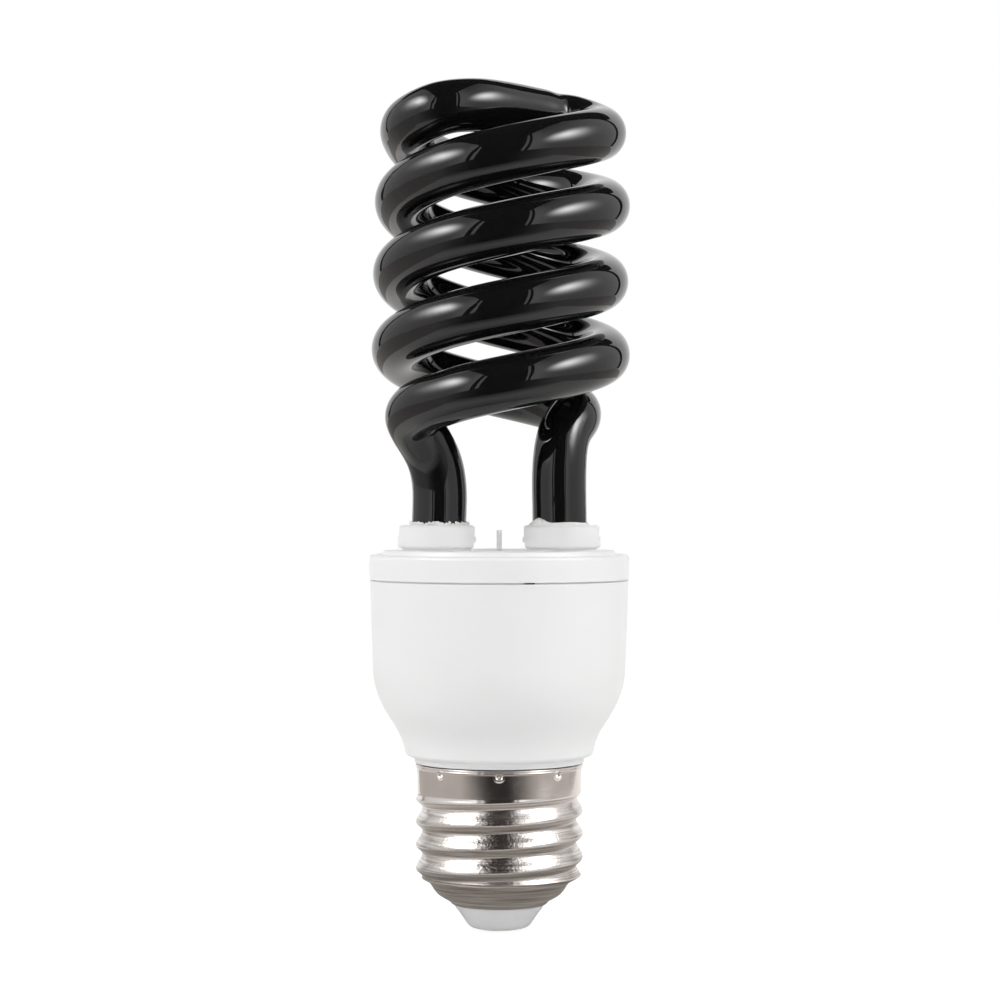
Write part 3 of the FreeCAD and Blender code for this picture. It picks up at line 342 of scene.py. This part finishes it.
def ring(radius_at, z_at, steps, x=0.0):
    """Points round a vertical axis, with a radius and a height for each angle."""
    points = []
    for angle in [2 * math.pi * i / steps for i in range(steps)]:
        radius = radius_at(angle)
        points.append((x + radius * math.cos(angle), radius * math.sin(angle), z_at(angle)))
    return points


def ring_mesh(name, rings):
    """Closed skin over rings of points, each joined to the next and the last to the first."""
    count = len(rings[0])
    faces = []
    for i in range(len(rings)):
        low, high = i * count, (i + 1) % len(rings) * count
        for j in range(count):
            k = (j + 1) % count
            faces.append((low + j, low + k, high + k, high + j))
    mesh = bpy.data.meshes.new(name)
    mesh.from_pydata([Vector(p) * MM for points in rings for p in points], [], faces)
    return mesh


def place_piece(mesh, node, slot):
    """The mesh as a piece of the lamp that stands for a solid and takes the finish of a slot."""
    mesh.shade_smooth()
    mesh.materials.append(finishes[slot])
    piece = bpy.data.objects.new(mesh.name, mesh)
    bpy.context.scene.collection.objects.link(piece)
    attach(piece, "root")
    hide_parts(node)


# Rolled shell: sheet thickness, points round it, and the heights of its rows of points, which are
# finest near the rim and coarse inside
SHEET = 0.4
SHELL_STEPS = 400
ROW_H = 0.12
FINE_ROW_H = 0.04
FINE_ROWS = 0.8
INNER_ROW_H = 0.7
INNER_DROP = 0.6
# Thread: pitch, radii, height of a crest at angle 0, length of its run-out, and the share of the
# pitch that its steeper flank takes
PITCH = 3.629
ROOT_R = 12.1
CREST_R = 13.1
MEAN_R = (ROOT_R + CREST_R) / 2
CREST_Z = 14.9
FADE = 1.4
UNDER_SHARE = 0.36
# Skirt and rim: two steps out (start below the rim, height, reach) and the groove between them
# (distance below the rim, width, depth)
SKIRT_R = 12.85
RIM_Z = 25.95
RIM_LIP = 0.35
RIM_ROUND = 0.06
RIM_EDGE_H = 0.04
RIM_STEPS = [(0.7, 0.15, 0.27), (0.25, 0.1, 0.08)]
GROOVE_DROP = 0.28
GROOVE_W = 0.07
GROOVE_DEPTH = 0.16
# Punch marks of the skirt, each a pit with a burr round it
STAKES = 8
STAKE_Z = 25.0
PIT_R = 0.36
PIT_DEPTH = 0.45
BURR_R = 0.58
BURR_W = 0.16
BURR_H = 0.09
# Bowl: its foot, its hole, and its side from the foot up (share of the height, of the reach)
SHELL_Z = 4.0
CONE_H = 4.4
TIP_R = 7.5
HOLE_R = 6.6
CONE = [
    (0.0, 0.0), (0.04, 0.03), (0.12, 0.11), (0.23, 0.28), (0.34, 0.42),
    (0.48, 0.53), (0.66, 0.63), (0.8, 0.72), (0.9, 0.84), (1.0, 1.0),
]
CONE_CUTS = 4


def thread(angle, z):
    """Height of the rolled thread over the mean radius. The flank below its crest is steeper."""
    fade_in = smooth((z - SHELL_Z - CONE_H) / FADE + 1)
    fade_out = 1 - smooth((z - THREAD_TOP_Z) / FADE)
    down = ((CREST_Z - z) / PITCH + angle / (2 * math.pi)) % 1.0
    if down < UNDER_SHARE:
        wave = math.cos(math.pi * down / UNDER_SHARE)
    else:
        wave = -math.cos(math.pi * (down - UNDER_SHARE) / (1 - UNDER_SHARE))
    return (CREST_R - ROOT_R) / 2 * fade_in * fade_out * wave


def stake(angle, z):
    """Punch mark with a burr round it, one of those that hold the shell on the housing's neck."""
    turn = angle * STAKES / (2 * math.pi)
    aside = (turn - round(turn)) * 2 * math.pi / STAKES * SKIRT_R
    away = math.hypot(aside, z - STAKE_Z)
    return BURR_H * bell(away - BURR_R, BURR_W) - PIT_DEPTH * bell(away, PIT_R)


def upper_radius(z):
    """Mean radius of the barrel, the straight skirt, and the rim with a groove rolled into it."""
    skirt = (SKIRT_R - MEAN_R) * smooth((z - THREAD_TOP_Z) / FADE)
    rim = sum(reach * smooth((z - RIM_Z + drop) / high) for drop, high, reach in RIM_STEPS)
    groove = GROOVE_DEPTH * bell(z - RIM_Z + GROOVE_DROP, GROOVE_W)
    return MEAN_R + skirt + rim - groove


def shell_rows():
    """Height and mean radius of each row of the shell's outside, from the tip to the rim."""
    cone = [(SHELL_Z + CONE_H * share, TIP_R + (MEAN_R - TIP_R) * way) for share, way in CONE]
    rows = drawn_line(cone, CONE_CUTS)
    z = rows[-1][0]
    while z < RIM_Z - RIM_ROUND:
        z += ROW_H if z < RIM_Z - FINE_ROWS else FINE_ROW_H
        rows.append((z, upper_radius(z)))
    return rows


def rolled_shell():
    def row(radius, z):
        return ring(lambda a: radius, lambda a: z, SHELL_STEPS)

    def formed_row(mean, z):
        return ring(lambda a: mean + thread(a, z) + stake(a, z), lambda a: z, SHELL_STEPS)

    rings = [formed_row(mean, z) for z, mean in shell_rows()]
    rings.append(row(SKIRT_R + RIM_LIP - RIM_ROUND, RIM_Z + RIM_EDGE_H))
    rings.append(row(SKIRT_R + RIM_LIP - SHEET, RIM_Z + RIM_EDGE_H))
    cone_top = SHELL_Z + CONE_H
    z = RIM_Z - INNER_DROP
    while z > cone_top:
        rings.append(formed_row(upper_radius(z) - SHEET, z))
        z -= INNER_ROW_H
    for share, way in CONE[::-2]:  # every other point, from the top down
        height = cone_top - SHEET - (CONE_H - 2 * SHEET) * (1 - share)
        rings.append(row(TIP_R + (MEAN_R - TIP_R) * way - SHEET, height))
    rings.append(row(HOLE_R, SHELL_Z + SHEET))
    rings.append(row(HOLE_R, SHELL_Z))
    place_piece(ring_mesh("rolled_shell", rings), "screw_shell", "nickel_plate")


# Insulator: its outside from the contact up to the shell (radius, height), and the hidden rest
INSULATOR_OUT = [
    (3.62, 0.2), (4.0, 0.21), (4.5, 0.36), (4.95, 0.72), (5.3, 1.2), (5.66, 1.75),
    (6.05, 2.3), (6.45, 2.85), (6.8, 3.3), (7.02, 3.65), (7.1, 3.95),
]
INSULATOR_IN = [
    (6.57, 4.0), (6.57, 4.43), (7.4, 4.44), (7.4, 6.0), (2.03, 6.0), (2.03, 0.47), (3.62, 0.47),
]
INSULATOR_CUTS = 4
INSULATOR_STEPS = 160


def pressed_insulator():
    profile = drawn_line(INSULATOR_OUT, INSULATOR_CUTS) + INSULATOR_IN
    rings = [ring(lambda a: radius, lambda a: z, INSULATOR_STEPS) for radius, z in profile]
    place_piece(ring_mesh("pressed_insulator", rings), "cap_insulator", "insulator_glass")


# Cement: the legs, the tops of their collars, and the sleeve of cement inside a collar
LEG_X = 9.47
LEG_R = 4.28
GRIP = 0.05
COLLAR_TOP_Z = 63.25
SLEEVE_R = 4.6
SLEEVE_Z = 57.5
SLEEVE_DROP = 0.4
BEAD_SINK = 0.05
CEMENT_STEPS = 360
CEMENT_ROWS = 12
# Its lumps and grains: features per mm, and the grains' share
LUMPS = 4.0
GRAINS = 9.0
GRAIN_SHARE = 0.6
# Left bead: rise, waves round the leg and their height, spread, and how far it crumbles
CRUMBLY_RISE = 0.4
CRUMBLY_WAVES = 3
CRUMBLY_WAVE_H = 0.12
CRUMBLY_SPREAD = 0.42
CRUMBLING = 0.22
# Crumbs on it: ranges of the distance out from the leg, of the radius and of the height over the
# collar, how lumpy they are, and the shift of the noise that makes each one different
CRUMB_COUNT = 170
CRUMB_SEED = 11
CRUMB_OUT = (0.05, 0.35)
CRUMB_R = (0.1, 0.24)
CRUMB_UP = (0.15, 0.5)
CRUMB_LUMP = 0.5
CRUMB_SHIFT = 3.0
# Right bead: the same, with a bump in front of the leg where the cement was wiped off the tool
WIPED_RISE = 0.55
WIPED_WAVES = 4
WIPED_WAVE_H = 0.06
WIPED_SPREAD = 0.5
WIPED_CRUMBLING = 0.05
BUMP_ANGLE = math.radians(223)
BUMP_RISE = 0.7
BUMP_RISE_W = 0.3
BUMP_SPREAD = 0.5
BUMP_SPREAD_W = 0.5


def cement(name, x, rise_at, spread_at, crumble):
    """Cement in the gap of a collar and the bead over it, crumbly or wiped smooth."""
    rings = [
        ring(lambda a: SLEEVE_R, lambda a: z, CEMENT_STEPS, x)
        for z in (SLEEVE_Z, COLLAR_TOP_Z - SLEEVE_DROP)
    ]
    for up in [math.radians(90.0 * i / CEMENT_ROWS) for i in range(CEMENT_ROWS + 1)]:
        points = []
        for angle in [2 * math.pi * i / CEMENT_STEPS for i in range(CEMENT_STEPS)]:
            radius = LEG_R - GRIP + spread_at(angle) * math.cos(up)
            z = COLLAR_TOP_Z - BEAD_SINK + rise_at(angle) * math.sin(up)
            p = Vector((radius * math.cos(angle), radius * math.sin(angle), z))
            push = noise.noise(p * LUMPS) + GRAIN_SHARE * noise.noise(p * GRAINS)
            radius += crumble * push * math.cos(up)
            z += crumble * push * math.sin(up)
            points.append((x + radius * math.cos(angle), radius * math.sin(angle), z))
        rings.append(points)
    rings.append(ring(lambda a: LEG_R - GRIP, lambda a: SLEEVE_Z, CEMENT_STEPS, x))
    return ring_mesh(name, rings)


def crumbs(mesh, x):
    """Crumbs of dried cement that stick to the bead all round."""
    draw = random.Random(CRUMB_SEED)
    grown = bmesh.new()
    grown.from_mesh(mesh)
    for _ in range(CRUMB_COUNT):
        angle = draw.uniform(0, 2 * math.pi)
        radius = LEG_R + draw.uniform(*CRUMB_OUT)
        size = draw.uniform(*CRUMB_R)
        z = COLLAR_TOP_Z + draw.uniform(*CRUMB_UP)
        centre = Vector((x + radius * math.cos(angle), radius * math.sin(angle), z))
        made = bmesh.ops.create_icosphere(grown, subdivisions=2, radius=size * MM)
        for vertex in made["verts"]:
            lump = 1 + CRUMB_LUMP * noise.noise(vertex.co / (size * MM) + centre * CRUMB_SHIFT)
            vertex.co = vertex.co * lump + centre * MM
    grown.to_mesh(mesh)
    grown.free()


def crumbly_cement():
    def rise(angle):
        return CRUMBLY_RISE + CRUMBLY_WAVE_H * math.sin(CRUMBLY_WAVES * angle)

    bead = cement("crumbly_cement", -LEG_X, rise, lambda a: CRUMBLY_SPREAD, CRUMBLING)
    crumbs(bead, -LEG_X)
    place_piece(bead, "tube_cement_left", "cement")


def wiped_cement():
    def rise(angle):
        bump = BUMP_RISE * bell(angle - BUMP_ANGLE, BUMP_RISE_W)
        return WIPED_RISE + bump + WIPED_WAVE_H * math.sin(WIPED_WAVES * angle)

    def spread(angle):
        return WIPED_SPREAD + BUMP_SPREAD * bell(angle - BUMP_ANGLE, BUMP_SPREAD_W)

    bead = cement("wiped_cement", LEG_X, rise, spread, WIPED_CRUMBLING)
    place_piece(bead, "tube_cement_right", "cement")


rolled_shell()
pressed_insulator()
crumbly_cement()
wiped_cement()


# Studio: a pale floor, two large soft panels at the sides, and dark cloth all round. The camera
# sees none of the panels or cloths, so every view has the same plain white ground.

STUDIO_X = 0.5
STUDIO_FRONT = -1.25
CEILING_Z = 2.2
BACK_CEILING_X = 2.0
BACK_CEILING_Y = 2.6
PANEL_BACK = 0.42
OUTLINE_W = 0.08
SEAM_GAP = 2 * MM
# Each panel: its side, its top, the place (y, z) of the lamp behind its cloth, the dark seam down
# the cloth (y to y), and how much more its near end glows in reflections
PANELS = {
    "left": {
        "side": -1, "top": 1.05, "lamp": (-0.26, 0.47), "seam": (-1.05, -0.85), "glow": 0.6,
    },
    "right": {
        "side": 1, "top": 1.65, "lamp": (-0.28, 0.45), "seam": (-1.10, -0.97), "glow": 0.55,
    },
}
# Strength of a panel's cloth: round its lamp, at its edge, and in the lamp's spot, for the sheet
# that lights the object and for the one that its reflections show
PANEL_WIDE = 0.9
PANEL_EDGE = 0.42
LIT_PEAK = 6.0
MIRRORED_PEAK = 14.0
# The spot: its shape (shares of a distance in x, y and z), its reach and the power of its fall.
# The glow of the near end grows from one y to the other.
SPOT_SHAPE = (0, 0.6, 0.85)
SPOT_REACH = 0.36
SPOT_FALL = 3.0
GLOW_FROM = -0.35
GLOW_TO = -0.9
# White paper under the lamp, as reflections show it, with the lamp's own shade on it
PAPER_LEFT = -0.105
PAPER_RIGHT = 0.17
PAPER_FRONT = -0.13
PAPER_LIT = -0.06
PAPER_DARK = 0.3
SHADE_R = 85 * MM
SHADE_CORE = 0.15
SHADE_DARK = 0.32
# Ground round the paper, with painted light on it: its strength, the slants from the axis between
# which it turns from dark to light, and its height over the floor
GROUND_LIGHT = 0.5
GROUND_DARK = 0.022
DARK_SLANT = 0.1
LIGHT_SLANT = 1.5
NEAREST = 0.02
GROUND_Z = 0.3 * MM
# Light from all round, and the floor: the share of it that shows plain white, and that white
FILL = 0.6
FLOOR_SHOWN = 0.6
FLOOR_WHITE = 1.33
FLOOR_REACH = 12.0
FLOOR_DROP = 0.05 * MM


def studio_sheet(name, corners, material, lights=False):
    """Flat sheet of the studio, which either lights the lamp or only shows in its reflections."""
    mesh = bpy.data.meshes.new(name)
    mesh.from_pydata([Vector(c) for c in corners], [], [tuple(range(len(corners)))])
    sheet = bpy.data.objects.new(name, mesh)
    bpy.context.scene.collection.objects.link(sheet)
    mesh.materials.append(material)
    sheet.visible_camera = False
    sheet.visible_shadow = False
    sheet.visible_diffuse = lights
    sheet.visible_glossy = not lights


def upright(x, y0, y1, z0, z1):
    return [(x, y0, z0), (x, y1, z0), (x, y1, z1), (x, y0, z1)]


def level(x0, x1, y0, y1, z):
    return [(x0, y0, z), (x1, y0, z), (x1, y1, z), (x0, y1, z)]


def panel_cloth(name, lamp, brightest, near_glow):
    """White diffuser cloth, brightest before its lamp, with a glow at its near end."""
    material, tree, place = new_material(name)
    centred = add(tree, "VectorMath", {"operation": "SUBTRACT"}, {0: place, 1: (0, *lamp)})
    flat = add(tree, "Mapping", {}, {"Vector": centred.outputs[0], "Scale": SPOT_SHAPE})
    length = add(tree, "VectorMath", {"operation": "LENGTH"}, {0: flat.outputs[0]})
    away = length.outputs["Value"]
    near = add(tree, "MapRange", SOFT, {
        "Value": away, "From Max": SPOT_REACH, "To Min": 1.0, "To Max": 0.0,
    })
    spot = add(tree, "Math", {"operation": "POWER"}, {0: near.outputs[0], 1: SPOT_FALL})
    peak = add(tree, "Math", {"operation": "MULTIPLY"}, {0: spot.outputs[0], 1: brightest})
    wide = add(tree, "MapRange", SOFT, {
        "Value": away, "To Min": PANEL_WIDE, "To Max": PANEL_EDGE,
    })
    apart = add(tree, "SeparateXYZ", {}, {"Vector": place})
    glow = add(tree, "MapRange", SOFT, {
        "Value": apart.outputs["Y"], "From Min": GLOW_FROM, "From Max": GLOW_TO,
        "To Max": near_glow,
    })
    both = add(tree, "Math", {"operation": "ADD"}, {0: peak.outputs[0], 1: wide.outputs[0]})
    total = add(tree, "Math", {"operation": "ADD"}, {0: both.outputs[0], 1: glow.outputs[0]})
    light = add(tree, "Emission", {}, {"Color": srgb("#ffffff"), "Strength": total.outputs[0]})
    close(tree, light)
    return material


def dark_cloth():
    """Dark cloth that only shows in reflections, a little uneven in its weave."""
    material, tree, place = new_material("dark_cloth")
    weave = add(tree, "TexNoise", {}, {"Vector": place, "Scale": per_mm(40), "Detail": 2})
    colour = add(tree, "Mix", RGBA, {
        0: weave.outputs[0], 6: srgb("#2b2624"), 7: srgb("#37302c"),
    })
    close(tree, add(tree, "Emission", {}, {"Color": colour.outputs[2]}))
    return material


def grey_ground():
    """Ground round the white paper, painted with the side panels' light and painted dark in
    front.
    """
    material, tree, place = new_material("grey_ground")
    apart = add(tree, "SeparateXYZ", {}, {"Vector": place})
    aside = add(tree, "Math", {"operation": "ABSOLUTE"}, {0: apart.outputs["X"]})
    ahead = add(tree, "Math", {"operation": "MULTIPLY"}, {0: apart.outputs["Y"], 1: -1.0})
    front = add(tree, "Math", {"operation": "MAXIMUM"}, {0: ahead.outputs[0], 1: NEAREST})
    slant = add(tree, "Math", {"operation": "DIVIDE"}, {0: aside.outputs[0], 1: front.outputs[0]})
    light = add(tree, "MapRange", SOFT, {
        "Value": slant.outputs[0], "From Min": DARK_SLANT, "From Max": LIGHT_SLANT,
        "To Min": GROUND_DARK, "To Max": GROUND_LIGHT,
    })
    # painted light: emission bright towards the side panels and painted shade in front
    shader = add(tree, "Emission", {}, {"Color": srgb("#fff8f3"), "Strength": light.outputs[0]})
    close(tree, shader)
    return material


def shaded_paper():
    """The paper as the lamp reflects it: shaded below the lamp, and darker in front."""
    material, tree, place = new_material("shaded_paper")
    length = add(tree, "VectorMath", {"operation": "LENGTH"}, {0: place})
    below = add(tree, "MapRange", SOFT, {
        "Value": length.outputs["Value"], "From Min": SHADE_CORE * SHADE_R, "From Max": SHADE_R,
        "To Min": SHADE_DARK,
    })
    apart = add(tree, "SeparateXYZ", {}, {"Vector": place})
    before = add(tree, "MapRange", SOFT, {
        "Value": apart.outputs["Y"], "From Min": PAPER_FRONT, "From Max": PAPER_LIT,
        "To Min": PAPER_DARK,
    })
    light = add(tree, "Math", {"operation": "MULTIPLY"}, {
        0: below.outputs[0], 1: before.outputs[0],
    })
    shader = add(tree, "Emission", {}, {"Color": srgb("#fbf9f6"), "Strength": light.outputs[0]})
    close(tree, shader)
    return material


def seen_directly(tree):
    """1 for camera, mirror and glass rays, which see plain white, and 0 for rays of light."""
    path = add(tree, "LightPath", {}, {})
    camera, mirror, through = [
        path.outputs[name] for name in ("Is Camera Ray", "Is Glossy Ray", "Is Transmission Ray")
    ]
    either = add(tree, "Math", {"operation": "MAXIMUM"}, {0: camera, 1: mirror})
    seen = add(tree, "Math", {"operation": "MAXIMUM"}, {0: either.outputs[0], 1: through})
    return seen.outputs[0]


def floor_paper():
    """Plain white paper that shows almost white and keeps a light shadow of the lamp."""
    material, tree, place = new_material("floor_paper")
    fibre = add(tree, "TexNoise", {}, {"Vector": place, "Scale": per_mm(0.8), "Detail": 2})
    colour = add(tree, "Mix", RGBA, {
        0: fibre.outputs[0], 6: srgb("#ededed"), 7: srgb("#f2f2f2"),
    })
    paper = add(tree, "BsdfDiffuse", {}, {"Color": colour.outputs[2]})
    white = add(tree, "Emission", {}, {"Color": srgb("#ffffff"), "Strength": FLOOR_WHITE})
    share = add(tree, "Math", {"operation": "MULTIPLY"}, {0: seen_directly(tree), 1: FLOOR_SHOWN})
    shader = add(tree, "MixShader", {}, {
        0: share.outputs[0], 1: paper.outputs[0], 2: white.outputs[0],
    })
    close(tree, shader)
    return material


def panels(cloth):
    back = PANEL_BACK + OUTLINE_W
    for name, panel in PANELS.items():
        x = panel["side"] * STUDIO_X
        seam_x = x - panel["side"] * SEAM_GAP
        seam_near, seam_far = panel["seam"]
        top = panel["top"]
        whole = upright(x, STUDIO_FRONT, PANEL_BACK, 0.0, top)
        light = panel_cloth(name + "_panel_light", panel["lamp"], LIT_PEAK, 0.0)
        mirrored = panel_cloth(name + "_panel_cloth", panel["lamp"], MIRRORED_PEAK, panel["glow"])
        studio_sheet(name + "_light", whole, light, lights=True)
        studio_sheet(name + "_panel", whole, mirrored)
        studio_sheet(name + "_seam", upright(seam_x, seam_near, seam_far, 0.0, top), cloth)
        studio_sheet(name + "_outline", upright(x, PANEL_BACK, back, 0.0, top), cloth)
        studio_sheet(name + "_header", upright(x, STUDIO_FRONT, back, top, CEILING_Z), cloth)


def front_and_ceiling(cloth):
    front = [
        (-STUDIO_X, STUDIO_FRONT, 0), (STUDIO_X, STUDIO_FRONT, 0),
        (STUDIO_X, STUDIO_FRONT, CEILING_Z), (-STUDIO_X, STUDIO_FRONT, CEILING_Z),
    ]
    studio_sheet("front_cloth", front, cloth)
    ceiling = level(-STUDIO_X, STUDIO_X, STUDIO_FRONT, PANEL_BACK, CEILING_Z)
    studio_sheet("ceiling_cloth", ceiling, cloth)
    behind = level(-BACK_CEILING_X, BACK_CEILING_X, PANEL_BACK, BACK_CEILING_Y, CEILING_Z)
    studio_sheet("back_ceiling_cloth", behind, cloth)


def ground():
    paper = level(PAPER_LEFT, PAPER_RIGHT, PAPER_FRONT, PANEL_BACK, GROUND_Z)
    studio_sheet("shaded_paper", paper, shaded_paper())
    corners = [
        (-STUDIO_X, STUDIO_FRONT), (STUDIO_X, STUDIO_FRONT), (STUDIO_X, PANEL_BACK),
        (PAPER_RIGHT, PANEL_BACK), (PAPER_RIGHT, PAPER_FRONT), (PAPER_LEFT, PAPER_FRONT),
        (PAPER_LEFT, PANEL_BACK), (-STUDIO_X, PANEL_BACK),
    ]
    # the ground sheet carries painted light, bright at the sides and dark in front
    studio_sheet("grey_ground", [(x, y, GROUND_Z) for x, y in corners], grey_ground())


def floor():
    mesh = bpy.data.meshes.new("floor")
    corners = level(-FLOOR_REACH, FLOOR_REACH, -FLOOR_REACH, FLOOR_REACH, 0)
    mesh.from_pydata(corners, [], [(0, 1, 2, 3)])
    sheet = bpy.data.objects.new("floor", mesh)
    sheet.location.z = -FLOOR_DROP
    bpy.context.scene.collection.objects.link(sheet)
    mesh.materials.append(floor_paper())


def light_all_round():
    """Soft white light from everywhere, and a plain white background."""
    world = bpy.data.worlds.new("studio")
    bpy.context.scene.world = world
    world.use_nodes = True
    tree = world.node_tree
    tree.nodes.clear()
    strength = add(tree, "MapRange", {}, {"Value": seen_directly(tree), "To Min": FILL})
    sky = add(tree, "Background", {}, {
        "Color": srgb("#ffffff"), "Strength": strength.outputs[0],
    })
    add(tree, "OutputWorld", {}, {"Surface": sky.outputs[0]})


# Camera: level, 404 mm before the lamp's axis, at the height of the ballast housing

CAMERA_PLACE = (0.12 * MM, -404 * MM, 67.25 * MM)
FRAME_WIDTH = 157.2 * MM
SENSOR = 36.0
CLIP_START = 0.01


def camera():
    data = bpy.data.cameras.new("camera")
    data.sensor_width = SENSOR
    data.lens = SENSOR * -CAMERA_PLACE[1] / FRAME_WIDTH
    data.clip_start = CLIP_START
    item = bpy.data.objects.new("camera", data)
    item.location = CAMERA_PLACE
    item.rotation_euler = (math.radians(90), 0, 0)
    bpy.context.scene.collection.objects.link(item)
    bpy.context.scene.camera = item


studio_cloth = dark_cloth()
panels(studio_cloth)
front_and_ceiling(studio_cloth)
ground()
floor()
light_all_round()
camera()
bpy.context.scene.view_settings.view_transform = "Standard"
